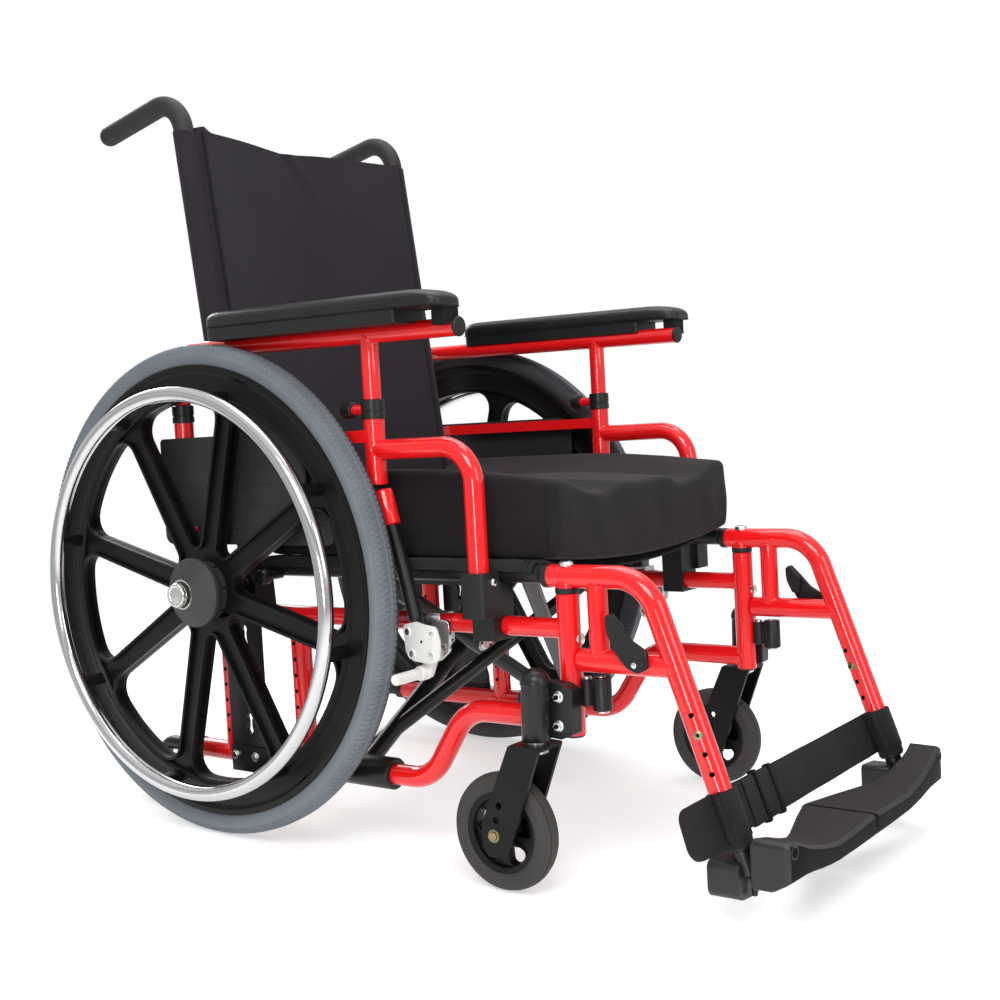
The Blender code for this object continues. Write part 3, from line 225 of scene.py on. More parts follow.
def offset(outline, distance):
    """The closed outline moved outwards."""
    points = [Vector(p) for p in outline]
    area = sum(a.x * b.y - b.x * a.y for a, b in zip(points, points[1:] + points[:1]))
    moved = []
    for i, p in enumerate(points):
        before, after = points[i - 1], points[(i + 1) % len(points)]
        along = (p - before).normalized() + (after - p).normalized()
        out = Vector((along.y, -along.x)).normalized() * (1 if area > 0 else -1)
        moved.append(tuple(p + out * distance))
    return moved


def bead(main_point, branch, main, branch_r, main_r, size=0.0013, steps=40):
    """A weld bead where a tube leaves another squarely: branch and main are the two directions."""
    branch, main = Vector(branch).normalized(), Vector(main).normalized()
    across = branch.cross(main)
    line = []
    for k in range(steps):
        e, f = polar((0, 0), branch_r, math.tau * k / steps)
        rise = math.sqrt(max(main_r ** 2 - min(f, main_r) ** 2, 0.0))
        line.append(Vector(main_point) + main * e + across * f + branch * rise)
    return tube(line, size, 8, closed=True)


# Making objects
class Shapes:
    """Surfaces gathered into one piece, each with one of the piece's finishes."""

    def __init__(self, *finishes):
        self.finishes, self.points, self.faces, self.marks = finishes, [], [], []

    def add(self, shape, surface=None):
        """Adds a shape in one of the finishes, which is the first where none is named."""
        points, faces = shape
        base = len(self.points)
        self.points += points
        self.faces += [tuple(i + base for i in f) for f in faces]
        self.marks += [0] * len(faces)
        if surface:
            self.repaint(range(len(self.faces) - len(faces), len(self.faces)), surface)

    def repaint(self, faces, surface):
        for i in faces:
            self.marks[i] = self.finishes.index(surface)

    def bolt(self, point, direction, radius, tall, surface=None, hexed=True, socket=None):
        """A hex head on a washer, or a round head, in the second finish where none is named."""
        surface = surface or self.finishes[1]
        way = Vector(direction).normalized()

        def head(steps, of, *profile):
            self.add(turned([(radius * r, h) for r, h in profile], point, way, steps), of)

        if hexed:
            head(24, surface, (1.25, -0.001), (1.25, 0.0006), (1.1, 0.0009))
            head(6, surface, (1, 0.0006), (1, tall * 0.85), (0.86, tall))
        else:
            head(24, surface, (1, -0.001), (1, tall * 0.4), (0.93, tall * 0.75), (0.7, tall),
                 (0.2, tall * 1.04))
        if socket:
            head(6, socket, (0.42, tall), (0.42, tall * 1.06))


def smooth(mesh, sharp=SHARP_ANGLE):
    mesh.shade_smooth()
    mesh.set_sharp_from_angle(angle=math.radians(sharp))


def show(name, content, bevel=0.0):
    """An object in the scene, with its edges rounded off where a width is given."""
    thing = bpy.data.objects.new(name, content)
    bpy.context.scene.collection.objects.link(thing)
    if bevel:
        change = thing.modifiers.new("edges", "BEVEL")
        change.width = bevel
        change.segments = 2
        change.limit_method = "ANGLE"
        change.angle_limit = math.radians(BEVEL_ANGLE)
    return thing


def make(shapes, name, framed=True, mirrored=False, bevel=0.0, sharp=SHARP_ANGLE):
    mesh = bpy.data.meshes.new(name)
    mesh.from_pydata([tuple(p) for p in shapes.points], [], shapes.faces)
    mesh.polygons.foreach_set("material_index", shapes.marks)
    for surface in shapes.finishes:
        mesh.materials.append(surface)
    work = bmesh.new()
    work.from_mesh(mesh)
    bmesh.ops.recalc_face_normals(work, faces=work.faces)
    work.to_mesh(mesh)
    work.free()
    if mirrored:
        mesh.transform(Matrix.Scale(-1, 4, OUT))
        mesh.flip_normals()
    mesh.transform(ON_FRAME if framed else ON_GROUND)
    smooth(mesh, sharp)
    return show(name, mesh, bevel)


def pair(shapes, name, body, stands_for=(), framed=True, bevel=0.0, sharp=SHARP_ANGLE):
    """The left and right piece, each riding its side's body and standing for its side's nodes."""
    made = []
    for side in ("left", "right"):
        piece = make(shapes, f"{name}_shown_{side}", framed, side == "right", bevel, sharp)
        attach(piece, f"{body}_{side}")
        if stands_for:
            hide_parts(*[f"{node}_{side}" for node in stands_for])
        made.append(piece)
    return made


def single(shapes, name, body, stands_for, sharp=SHARP_ANGLE):
    piece = make(shapes, f"{name}_shown", sharp=sharp)
    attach(piece, body)
    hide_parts(*stands_for)
    return piece


# Finishes
def fill(tree, node, inputs):
    """Sets a node's inputs to values, or links them to other nodes' outputs."""
    for name, value in inputs.items():
        if isinstance(value, bpy.types.NodeSocket):
            tree.links.new(value, node.inputs[name])
        else:
            node.inputs[name].default_value = value


def new_node(tree, kind, inputs=None):
    node = tree.nodes.new("ShaderNode" + kind)
    fill(tree, node, inputs or {})
    return node


def combined(tree, operation, first, second):
    node = new_node(tree, "Math", {0: first, 1: second})
    node.operation = operation
    return node.outputs[0]


def relief(tree, grain, where, scale):
    """The height pattern of a grain: woven, ribbed, pebbled like leather, cast or finely speckled."""
    def wave(direction):
        node = new_node(tree, "TexWave", {"Vector": where, "Scale": scale, "Distortion": 0.6, "Detail": 1,
                                          "Detail Scale": 2})
        node.bands_direction = direction
        return node.outputs["Fac"]

    if grain == "weave":
        return combined(tree, "MAXIMUM", wave("X"), wave("Z"))
    if grain == "ribs":
        return wave("Z")
    if grain == "leather":
        cells = new_node(tree, "TexVoronoi", {"Vector": where, "Scale": scale})
        cells.feature = "SMOOTH_F1"
        return cells.outputs["Distance"]
    detail = 5 if grain == "cast" else 2
    return new_node(tree, "TexNoise", {"Vector": where, "Scale": scale, "Detail": detail}).outputs["Fac"]


def finish(name, colour, rough, scale, depth, metal=0.0, coat=0.0, grain="noise", shade=0.12, sheen=0.0,
           worn=0.06, coat_rough=0.06, specular=0.5):
    """A procedural finish: colour and gloss vary a little, and the grain is a bump of a real depth."""
    made = bpy.data.materials.new(name)
    made.use_nodes = True
    tree = made.node_tree
    where = new_node(tree, "TexCoord").outputs["Object"]
    broad = new_node(tree, "TexNoise", {"Vector": where, "Scale": 14, "Detail": 6}).outputs["Fac"]
    tone = new_node(tree, "ValToRGB", {"Fac": broad})
    for stop, position, change in zip(tone.color_ramp.elements, (0.3, 0.7), (-shade, shade)):
        stop.position = position
        stop.color = (*[min(1, c * (1 + change)) for c in colour], 1)
    dull = new_node(tree, "MapRange", {"Value": broad, "To Min": max(0.02, rough - worn),
                                       "To Max": min(1, rough + worn)})
    bump = new_node(tree, "Bump", {"Distance": depth, "Strength": 1.0,
                                   "Height": relief(tree, grain, where, scale)})
    fill(tree, tree.nodes["Principled BSDF"], {
        "Base Color": tone.outputs["Color"], "Metallic": metal, "Roughness": dull.outputs["Result"],
        "Normal": bump.outputs["Normal"], "Specular IOR Level": specular, "Coat Weight": coat,
        "Coat Roughness": coat_rough, "Sheen Weight": sheen, "Sheen Roughness": 0.45})
    return made


def grey(level):
    return level, level, level


RED = finish("red_paint", (0.80, 0.008, 0.010), 0.30, 220, 0.00002, coat=1.0, shade=0.04, worn=0.03,
             specular=0.12, coat_rough=0.03)
CAST = finish("black_coated_metal", (0.009, 0.009, 0.010), 0.34, 900, 0.00006, shade=0.2, worn=0.08,
              specular=0.35)
WHEEL = finish("black_composite", (0.0046, 0.0046, 0.0050), 0.40, 700, 0.00006, shade=0.2, specular=0.19)
HUB = finish("hub_composite", (0.039, 0.039, 0.042), 0.52, 700, 0.00008, specular=0.3)
GROOVED = finish("tyre_tread", (0.135, 0.152, 0.175), 0.72, 260, 0.00015, shade=0.10, specular=0.25)
PANEL = finish("panel_plastic", (0.023, 0.0225, 0.0235), 0.46, 1100, 0.00010, shade=0.2, specular=0.34)
# painted shade: a darker grey for the tyre's inboard sidewall, standing in for the shade that falls there;
# the real tyre is one grey
TYRE_WALL_SHADE = finish("tyre_wall_painted_shade", (0.050, 0.052, 0.058), 0.70, 260, 0.00012, shade=0.10, specular=0.2)
TYRE = finish("grey_tyre", (0.150, 0.169, 0.193), 0.62, 260, 0.00012, shade=0.08, specular=0.3)
ROLLER = finish("dark_tyre", (0.040, 0.038, 0.036), 0.66, 300, 0.00012, shade=0.15, specular=0.3)
CHROME = finish("polished_metal", (0.60, 0.60, 0.61), 0.12, 60, 0.00001, metal=1.0, shade=0.03, worn=0.04)
STEEL = finish("zinc_steel", (0.74, 0.73, 0.70), 0.28, 500, 0.00003, metal=1.0, shade=0.08)
BRASS = finish("passivated_steel", (0.30, 0.26, 0.14), 0.38, 500, 0.00003, metal=1.0, shade=0.15)
PALE = finish("pale_alloy", (0.76, 0.76, 0.74), 0.42, 500, 0.00012, metal=0.25, grain="cast", shade=0.06)
PLASTIC = finish("black_plastic", (0.010, 0.010, 0.011), 0.44, 1100, 0.00010, shade=0.2, specular=0.32)
MOULD = finish("moulded_plate", (0.014, 0.015, 0.017), 0.40, 900, 0.00006, specular=0.38)
# painted shade: the footplate's front faces in a darker, duller black than the rest of the one moulding
NOSE_SHADE = finish("plate_nose_painted_shade", (0.0024, 0.0030, 0.0042), 0.55, 900, 0.00006, specular=0.05)
TREAD = finish("plate_grain", (0.017, 0.015, 0.014), 0.72, 1500, 0.00022, shade=0.16, specular=0.30)
RUBBER = finish("black_grip", (0.023, 0.021, 0.019), 0.62, 800, 0.00012, shade=0.2, specular=0.35)
PAD = finish("pad_skin", grey(0.010), 0.36, 420, 0.00040, grain="leather", shade=0.2, specular=0.34)
SLING = finish("sling_cloth", (0.017, 0.017, 0.018), 0.82, 420, 0.00014, grain="weave", shade=0.14,
               sheen=0.05, specular=0.2)
CLOTH = finish("back_cloth", (0.022, 0.018, 0.024), 0.88, 420, 0.00012, grain="weave", shade=0.10,
               sheen=0.06, specular=0.2)
SEAT = finish("seat_cloth", (0.013, 0.011, 0.012), 0.80, 260, 0.00050, grain="ribs", shade=0.22,
              sheen=0.05, specular=0.2)
WEB = finish("webbing", (0.0065, 0.006, 0.006), 0.70, 170, 0.00130, grain="weave", shade=0.35,
             sheen=0.03, specular=0.3)
THREAD = finish("thread", (0.006, 0.006, 0.007), 0.7, 900, 0.0001, specular=0.2)
# painted shade: a near-black finish for bores, sockets and slots, put where only the shade inside them shows
DARK = finish("shadow_bore", grey(0.003), 0.8, 300, 0.00002, specular=0.1)

# Camera, at the photograph's angle
AZIMUTH, ELEVATION, ROLL = -0.9296, 0.0789, -0.0230
EYE = Vector((-1.4174, AXLE_Y - 1.3084, 0.5436))
SENSOR, FOCAL_SHARE = 36, 1370.25 / 1000
backward = Vector((math.sin(AZIMUTH) * math.cos(ELEVATION), -math.cos(AZIMUTH) * math.cos(ELEVATION),
                   math.sin(ELEVATION)))
level_right = (-backward).cross(Vector(UP)).normalized()
level_up = level_right.cross(-backward)
right = level_right * math.cos(ROLL) + level_up * math.sin(ROLL)
upward = level_up * math.cos(ROLL) - level_right * math.sin(ROLL)
view = bpy.data.cameras.new("view")
view.sensor_width = SENSOR
view.lens = FOCAL_SHARE * SENSOR
view.clip_start, view.clip_end = 0.05, 60
camera = show("view", view)
camera.matrix_world = Matrix.Translation(EYE) @ Matrix((right, upward, backward)).transposed().to_4x4()
bpy.context.scene.camera = camera

# Floor, fading out with distance
FLOOR_R, FLOOR_Z, FLOOR_FADE = 6, -0.0004, (0.75, 2.2)
floor_mesh = bpy.data.meshes.new("floor")
floor_mesh.from_pydata([(x, y, FLOOR_Z) for x, y in circle((0, 0), FLOOR_R, 64)], [], [tuple(range(64))])
floor = show("floor", floor_mesh)
pale = bpy.data.materials.new("pale_floor")
pale.use_nodes = True
tree = pale.node_tree
shader = tree.nodes["Principled BSDF"]
fill(tree, shader, {"Base Color": (*grey(0.80), 1), "Emission Color": (*grey(1), 1),
                    "Emission Strength": 0.48, "Roughness": 0.85, "Specular IOR Level": 0.1})
away = new_node(tree, "VectorMath", {0: new_node(tree, "TexCoord").outputs["Object"]})
away.operation = "LENGTH"
fade = new_node(tree, "MapRange", {"Value": away.outputs["Value"], "From Min": FLOOR_FADE[0],
                                   "From Max": FLOOR_FADE[1]})
fade.interpolation_type = "SMOOTHSTEP"
blend = new_node(tree, "MixShader", {"Fac": fade.outputs["Result"], 1: shader.outputs["BSDF"],
                                     2: new_node(tree, "BsdfTransparent").outputs["BSDF"]})
fill(tree, tree.nodes["Material Output"], {"Surface": blend.outputs["Shader"]})
floor_mesh.materials.append(pale)

# Backdrop: white to the eye; reflections see a studio with a dark band above its horizon
DIM, FULL = 0.42, 1.0
HORIZON, ZENITH, BETWEEN = 0.26, 1.0, ((0.10, 0.70), (0.36, 0.12), (0.50, 0.62))
world = bpy.data.worlds.new("studio")
world.use_nodes = True
bpy.context.scene.world = world
tree = world.node_tree
ray_kind = new_node(tree, "LightPath").outputs
seen = combined(tree, "MAXIMUM", ray_kind["Is Camera Ray"], ray_kind["Is Transmission Ray"])
way = new_node(tree, "SeparateXYZ", {"Vector": new_node(tree, "TexCoord").outputs["Generated"]})
studio = new_node(tree, "ValToRGB", {"Fac": way.outputs["Z"]})
stops = studio.color_ramp.elements
stops[0].color, stops[1].color = (*grey(HORIZON), 1), (*grey(ZENITH), 1)
for position, level in BETWEEN:
    stops.new(position).color = (*grey(level), 1)
mirrored_studio = combined(tree, "MULTIPLY", ray_kind["Is Glossy Ray"], studio.outputs["Color"])
amount = new_node(tree, "MapRange", {"Value": combined(tree, "MAXIMUM", seen, mirrored_studio),
                                     "To Min": DIM, "To Max": FULL})
fill(tree, tree.nodes["Background"], {"Color": (1, 1, 1, 1), "Strength": amount.outputs["Result"]})

# Lamps
for name, place_at, aim, size, power in (
        ("key", (-2.3, -1.3, 2.4), (0, 0, 0.4), (1.6, 1.2), 54),
        ("side", (-2.95, -1.40, 0.42), (0, 0, 0.42), (0.55, 0.80), 17),
        ("top", (0.3, 0.2, 3.0), (0, 0, 0.4), (2.2, 2.2), 48),
        ("fill", (-0.5, -3.0, 1.5), (0, 0, 0.45), (1.4, 1.4), 20),
        ("edge", (0.8, 2.6, 1.8), (0, 0, 0.6), (1.4, 1.0), 26)):
    light = bpy.data.lights.new(name, "AREA")
    light.shape = "RECTANGLE"
    light.size, light.size_y = size
    light.energy = power
    lamp = show(name, light)
    lamp.location = place_at
    lamp.rotation_euler = (Vector(aim) - Vector(place_at)).to_track_quat("-Z", "Y").to_euler()

bpy.context.scene.view_settings.view_transform = "Standard"

# Side frames
MAIN_R, MID_R, UPRIGHT_R = 0.0127, 0.0110, 0.0130
POST_Y, POST_TOP, POST_BOTTOM = -0.492, 0.0015, -0.152
MID_Z, UPPER_Z, LOWER_Z = -0.037, -0.136, -0.224
MID_END_Y, LOWER_END_Y = 0.086, 0.120


def hole_row(shapes, start, end, radius, count, outward, size=0.0026):
    """Adjustment holes: plugs of painted shade just proud of a tube, seen from one side and its opposite."""
    out = Vector(outward).normalized()
    for k in range(count):
        p = Vector(start).lerp(Vector(end), k / (count - 1))
        for way in (1, -1):
            shapes.add(turned([(size, radius - 0.002), (size, radius + 0.00012)], p, out * way, 16), DARK)


tubes = Shapes(RED, DARK, PLASTIC)
tubes.add(rod((FRAME_X, POST_Y, POST_BOTTOM), (FRAME_X, POST_Y, POST_TOP), MAIN_R))
tubes.add(rod((FRAME_X, POST_Y, MID_Z), (FRAME_X, MID_END_Y, MID_Z), MID_R))
lower_line = [(POST_Y, UPPER_Z), (-0.346, UPPER_Z), (-0.288, LOWER_Z), (LOWER_END_Y, LOWER_Z)]
tubes.add(tube(bent([(FRAME_X, y, z) for y, z in lower_line], 0.055), MAIN_R))
for y in (-0.085, 0.0445):
    tubes.add(rod((FRAME_X, y, LOWER_Z), (FRAME_X, y, MID_Z), UPRIGHT_R))
    tubes.add(bead((FRAME_X, y, LOWER_Z), UP, REAR, UPRIGHT_R, MAIN_R + 0.0003))
    tubes.add(bead((FRAME_X, y, MID_Z), DOWN, REAR, UPRIGHT_R, MID_R + 0.0003))
    hole_row(tubes, (FRAME_X, y, -0.072), (FRAME_X, y, -0.193), UPRIGHT_R, 7, OUT)
for z, radius in ((MID_Z, MID_R), (UPPER_Z, MAIN_R)):
    tubes.add(bead((FRAME_X, POST_Y, z), REAR, UP, radius, MAIN_R))
for y, z, way, cap in (
        (POST_Y, POST_BOTTOM, DOWN, [(0.0118, -0.0006), (0.0118, 0.0012), (0.0105, 0.0022)]),
        (MID_END_Y, MID_Z, REAR, [(0.0104, -0.001), (0.0104, 0.0016), (0.0088, 0.0026)]),
        (LOWER_END_Y, LOWER_Z, REAR, [(MAIN_R + 0.0006, -0.012), (MAIN_R + 0.0010, -0.011),
                                      (MAIN_R + 0.0010, -0.0004), (MAIN_R, 0.0)])):
    tubes.add(turned(cap, (FRAME_X, y, z), way), PLASTIC)
pair(tubes, "side_frame", "frame", ["side_frame"])

# Rear wheels
TYRE_X, WEB_THICK, RIM_STEPS = 0.2763, 0.0186, 160
WEB_X = TYRE_X - WEB_THICK / 2
HANDRIM_X, HANDRIM_R = 0.3223, 0.245
AXLE = (0.0, TYRE_R)
SPOKE_STEP = 45
SPOKES = [32.5 + SPOKE_STEP * k for k in range(8)]


def ray(angle, radius, aside=0.0):
    """The (y, z) point at a radius from the axle, and so far to the side of that line."""
    a = math.radians(180 - angle)
    y, z = polar((0, TYRE_R), radius, a)
    return y + aside * math.sin(a), z - aside * math.cos(a)


def window(angle, out=0.2385, spoke=0.0125):
    """The opening between two spokes: straight sides, rounded corners and the rim's own curve."""
    near = spoke / math.sin(math.radians(SPOKE_STEP / 2))
    side = math.degrees(math.asin(spoke / out))
    span = [side + 8 + (SPOKE_STEP - 2 * side - 16) * k / 10 for k in range(11)]
    corners = [(*ray(angle + side, out), 0.024), (*ray(angle + SPOKE_STEP / 2, near + 0.004), 0.012),
               (*ray(angle + SPOKE_STEP - side, out), 0.024)]
    return rounded(corners + [(*ray(angle + a, out), 0) for a in reversed(span)], 8)


windows = [window(angle) for angle in SPOKES]
wheel = Shapes(WHEEL, STEEL, DARK, HUB)
wheel.add(plate(circle(AXLE, 0.250, RIM_STEPS), windows, "x", TYRE_X - 0.0038, TYRE_X + 0.0038))
for opening in windows:
    wheel.add(plate(offset(opening, 0.0034), [opening], "x", WEB_X, WEB_X + WEB_THICK))
wheel.add(revolve(rounded(both_halves([
    (0.2405, -0.0062, 0.0015), (0.2440, -0.0118, 0.002), (0.2520, -0.0100, 0.004), (0.2690, -0.0100, 0.004),
    (0.2725, -0.0150, 0.001), (0.2815, -0.0150, 0.0015), (0.2790, -0.0120, 0)]), 3), AXLE, RIM_STEPS, TYRE_X))
wheel.add(revolve(rounded([
    (0.0075, 0.2562, 0), (0.0240, 0.2562, 0.001), (0.0306, 0.2592, 0.002), (0.0330, WEB_X - 0.004, 0.002),
    (0.0365, WEB_X + 0.001, 0.001), (0.0385, TYRE_X + 0.012, 0.002), (0.0430, TYRE_X + 0.0215, 0.0015),
    (0.0430, TYRE_X + 0.0262, 0.0012), (0.0400, TYRE_X + 0.0282, 0.0008), (0.0190, 0.3192, 0.0015),
    (0.0075, 0.3196, 0)], 4), AXLE, 72), HUB)
wheel.add(revolve([(0.0165, 0.3185), (0.0185, 0.3185), (0.0185, 0.3202), (0.0165, 0.3202)], AXLE, 48), STEEL)
for angle in SPOKES:
    stud = (TYRE_X + 0.0060, *ray(angle + SPOKE_STEP / 2, 0.0375))
    wheel.add(turned([(0.0016, 0.0), (0.0016, 0.0052)], stud, OUT, 10))
pair(wheel, "wheel", "rear_wheel", ["wheel"], framed=False, bevel=0.0007)

tyre = Shapes(TYRE, GROOVED, TYRE_WALL_SHADE)
half_tyre = [(0.2785, -0.0118), (0.2815, -0.0140), (0.2850, -0.0160), (0.2895, -0.0172), (0.2935, -0.0173),
             (0.2960, -0.0166), (0.2976, -0.0158), (0.2990, -0.0148), (0.3014, -0.0128), (0.3026, -0.0112),
             (0.3037, -0.0090), (0.3045, -0.0062), (0.3048, -0.0030)]
tyre_profile = [*half_tyre, (0.3049, 0.0), *[(r, -x) for r, x in reversed(half_tyre)]]
TYRE_SIDES, SHADED_WALL_SIDES, TREAD_END = len(tyre_profile), 11, 21


def tread(step, k):
    """Block edges on the shoulders, and three grooves round the middle."""
    k = min(k, TYRE_SIDES - 1 - k)
    if k == 5:
        return -0.0012
    if 6 <= k <= 9 and (step + k // 2) % 4 == 0:
        return -0.0019
    if 10 <= k <= 11 and (step + 2) % 4 == 0:
        return -0.0014
    return -0.0011 if k == 12 else 0.0


tyre.add(revolve(tyre_profile, AXLE, 1080, TYRE_X, tread))
# The inboard sidewall faces carry the painted shade, and the tread band the grooved finish
for first in range(0, len(tyre.faces), TYRE_SIDES):
    tyre.repaint(range(first, first + SHADED_WALL_SIDES), TYRE_WALL_SHADE)
    tyre.repaint(range(first + SHADED_WALL_SIDES, first + TREAD_END), GROOVED)
pair(tyre, "tyre", "rear_wheel", ["tyre"], framed=False, sharp=32)

handrim = Shapes(CHROME, WHEEL)
handrim.add(tube([(HANDRIM_X, *ray(3 * k, HANDRIM_R)) for k in range(120)], 0.0092, 32, closed=True))
for angle in SPOKES:
    foot = rounded([(*ray(angle, radius, aside), 0.002) for radius, aside in (
        (0.2405, -0.0075), (0.2520, -0.0060), (0.2520, 0.0060), (0.2405, 0.0075))], 3)
    handrim.add(prism(foot, "x", TYRE_X + 0.0110, HANDRIM_X - 0.0070), WHEEL)
pair(handrim, "handrim", "rear_wheel", ["handrim"], framed=False)

button = Shapes(STEEL, DARK)
button.add(turned([(0.0120, 0.0033), (0.0146, 0.0036), (0.0150, 0.0044), (0.0150, 0.0088), (0.0141, 0.0101),
                   (0.0122, 0.0106), (0.0105, 0.0102), (0.0100, 0.0096), (0.0040, 0.0101)],
                  (0.3200, 0, 0), OUT, 48))
button.add(rod((0.3160, 0, 0), (0.3250, 0, 0), 0.0062))
pair(button, "axle_button", "button", ["axle_button"])

# Casters
CASTER_X, STEM_Y, CASTER_R = 0.2440, -0.4735, 0.0653
HOUSING_LOW, HOUSING_TOP, HOUSING_FRONT = 0.1715, 0.2335, -0.5145
CASTER = (STEM_Y + 0.0423, CASTER_R)

housing = Shapes(CAST, STEEL, DARK)
dome = [(r, 0.0620 + h * 0.98) for r, h in arc((0, 0), 0.0167, 0, 86, 14)]
barrel = [(0.0120, 0.0), (0.0150, 0.0), (0.0157, 0.0010), (0.0157, 0.0600), (0.0166, 0.0604)]
housing.add(turned(barrel + dome, (CASTER_X, STEM_Y, HOUSING_LOW), UP, 56))
bracket = rounded([
    (STEM_Y, HOUSING_LOW + 0.002, 0), (STEM_Y, HOUSING_TOP, 0), (-0.500, HOUSING_TOP, 0.002),
    (HOUSING_FRONT, HOUSING_TOP - 0.006, 0.004), (HOUSING_FRONT, HOUSING_LOW + 0.008, 0.004),
    (-0.500, HOUSING_LOW + 0.002, 0.002)], 4)
housing.add(prism(bracket, "x", FRAME_X + 0.0110, CASTER_X - 0.009))
for z in (0.2192, 0.1878):
    screw = (CASTER_X - 0.009, -0.4966, z)
    housing.bolt(screw, OUT, 0.0052, 0.0044)
    housing.add(turned([(0.0024, 0.0040), (0.0024, 0.0062), (0.0018, 0.0068)], screw, OUT, 16), DARK)
pair(housing, "caster_housing", "frame", ["caster_housing"], framed=False, bevel=0.0006)

CROWN, FORK_IN, FORK_OUT = HOUSING_LOW - 0.0030, 0.0185, 0.0230
fork = Shapes(WHEEL, BRASS, DARK, STEEL)
leg = rounded([
    (STEM_Y - 0.019, CROWN, 0.002), (STEM_Y + 0.021, CROWN, 0.006),
    (CASTER[0] + 0.017, CASTER_R + 0.010, 0.014), (CASTER[0] + 0.012, CASTER_R - 0.026, 0.012),
    (CASTER[0] - 0.018, CASTER_R - 0.022, 0.012)])
fork_holes = [circle((CASTER[0] - a, CASTER_R + b), 0.0040) for a, b in ((0.0030, 0.0180), (0.0068, 0.0340))]
for side in (-1, 1):
    fork.add(plate(leg, fork_holes, "x", *sorted((CASTER_X + side * FORK_IN, CASTER_X + side * FORK_OUT))))
    fork.bolt((CASTER_X + side * FORK_OUT, *CASTER), (side, 0, 0), 0.0058, 0.0042)
fork.add(block((CASTER_X - 0.0215, CASTER_X + 0.0215), (STEM_Y - 0.0180, STEM_Y + 0.0190),
               (CROWN - 0.0045, CROWN - 0.0001)))
fork.add(turned([(0.0108, 0.0), (0.0108, 0.0027)], (CASTER_X, STEM_Y, CROWN - 0.0001)), STEEL)
fork.add(turned([(0.0116, 0.0), (0.0116, 0.0050), (0.0096, 0.0066), (0.0040, 0.0072)],
                (CASTER_X, STEM_Y - 0.002, CROWN - 0.0045), DOWN, 6), STEEL)
pair(fork, "caster_fork", "swivel", ["caster_fork"], framed=False, bevel=0.0006)


def caster_window(k):
    mid = math.radians(90 + 72 * k)
    return rounded([(*polar(CASTER, r, mid + a), corner) for r, a, corner in (
        (0.0170, -0.30, 0.002), (0.0172, 0.30, 0.002), (0.0360, 0.42, 0.006), (0.0382, 0.14, 0),
        (0.0382, -0.14, 0), (0.0360, -0.42, 0.006))], 5)


roller = Shapes(WHEEL, ROLLER)
caster_windows = [caster_window(k) for k in range(5)]
roller.add(plate(circle(CASTER, 0.0405, 96), caster_windows, "x", CASTER_X - 0.0045, CASTER_X + 0.0045))
for opening in caster_windows:
    roller.add(plate(offset(opening, 0.0018), [opening], "x", CASTER_X - 0.0062, CASTER_X + 0.0062))
caster_rim = both_halves([(0.0375, -0.0060, 0.001), (0.0385, -0.0098, 0.001), (0.0452, -0.0108, 0)])
roller.add(revolve(rounded(caster_rim, 3), CASTER, 96, CASTER_X))
caster_hub = both_halves([(0.0042, -0.0181, 0), (0.0090, -0.0181, 0.001), (0.0115, -0.0130, 0.002),
                          (0.0135, -0.0060, 0.002)])
roller.add(revolve(rounded(caster_hub, 3), CASTER, 48, CASTER_X))
pair(roller, "caster_wheel", "caster", ["caster_wheel"], framed=False, bevel=0.0004)

band = Shapes(ROLLER)
band.add(revolve(rounded(both_halves([
    (0.0450, -0.0112, 0), (0.0480, -0.0127, 0.001), (0.0560, -0.0130, 0.004), (0.0612, -0.0116, 0.001),
    (0.0610, -0.0106, 0), (0.0632, -0.0088, 0.001), (0.0638, -0.0056, 0), (0.0630, -0.0048, 0),
    (0.0648, -0.0040, 0)], [(0.0652, 0.0, 0.004)]), 4), CASTER, 120, CASTER_X))
pair(band, "caster_tyre", "caster", ["caster_tyre"], framed=False, sharp=60)

# Leg rests
HANGER_Z, LOW_Z, END_Z, HANGER_END_Y = 0.020, -0.070, -0.250, -0.4655
LEAN = math.radians(19.4)
LEG_BRACE_Y, LEG_BRACE_R, LATCH_Y = -0.530, 0.0110, -0.582


def hanger_y(z):
    return -0.590 - (HANGER_Z - z) * math.tan(LEAN)


def on_hanger(z):
    return Vector((FRAME_X, hanger_y(z), z))


leg_way = Vector((0, -math.sin(LEAN), -math.cos(LEAN)))
leg_rest = Shapes(RED, DARK, PLASTIC, STEEL, BRASS)
leg_rest.add(tube(bent([(FRAME_X, HANGER_END_Y, HANGER_Z), on_hanger(HANGER_Z), on_hanger(END_Z)], 0.050, 3),
                  MAIN_R, 32))
leg_rest.add(rod((FRAME_X, POST_Y - MAIN_R - 0.001, LOW_Z), on_hanger(LOW_Z), MAIN_R))
leg_rest.add(rod((FRAME_X, LEG_BRACE_Y, LOW_Z), (FRAME_X, LEG_BRACE_Y, HANGER_Z), LEG_BRACE_R))
leg_rest.add(bead((FRAME_X, LEG_BRACE_Y, HANGER_Z), DOWN, REAR, LEG_BRACE_R, MAIN_R))
leg_rest.add(bead((FRAME_X, LEG_BRACE_Y, LOW_Z), UP, REAR, LEG_BRACE_R, MAIN_R))
leg_rest.add(bead(on_hanger(LOW_Z), REAR, leg_way, MAIN_R, MAIN_R))
leg_rest.add(rod((FRAME_X, POST_Y, POST_TOP + 0.0003), (FRAME_X, POST_Y, HANGER_Z), MAIN_R - 0.0006))
leg_rest.add(rod((FRAME_X, POST_Y, POST_TOP - 0.040), (FRAME_X, POST_Y, POST_TOP), 0.0092), STEEL)
leg_rest.add(turned([(0.0128, 0.0003), (0.0131, 0.0010), (0.0131, 0.0056), (0.0126, 0.0062)],
                    (FRAME_X, POST_Y, POST_TOP)), PLASTIC)
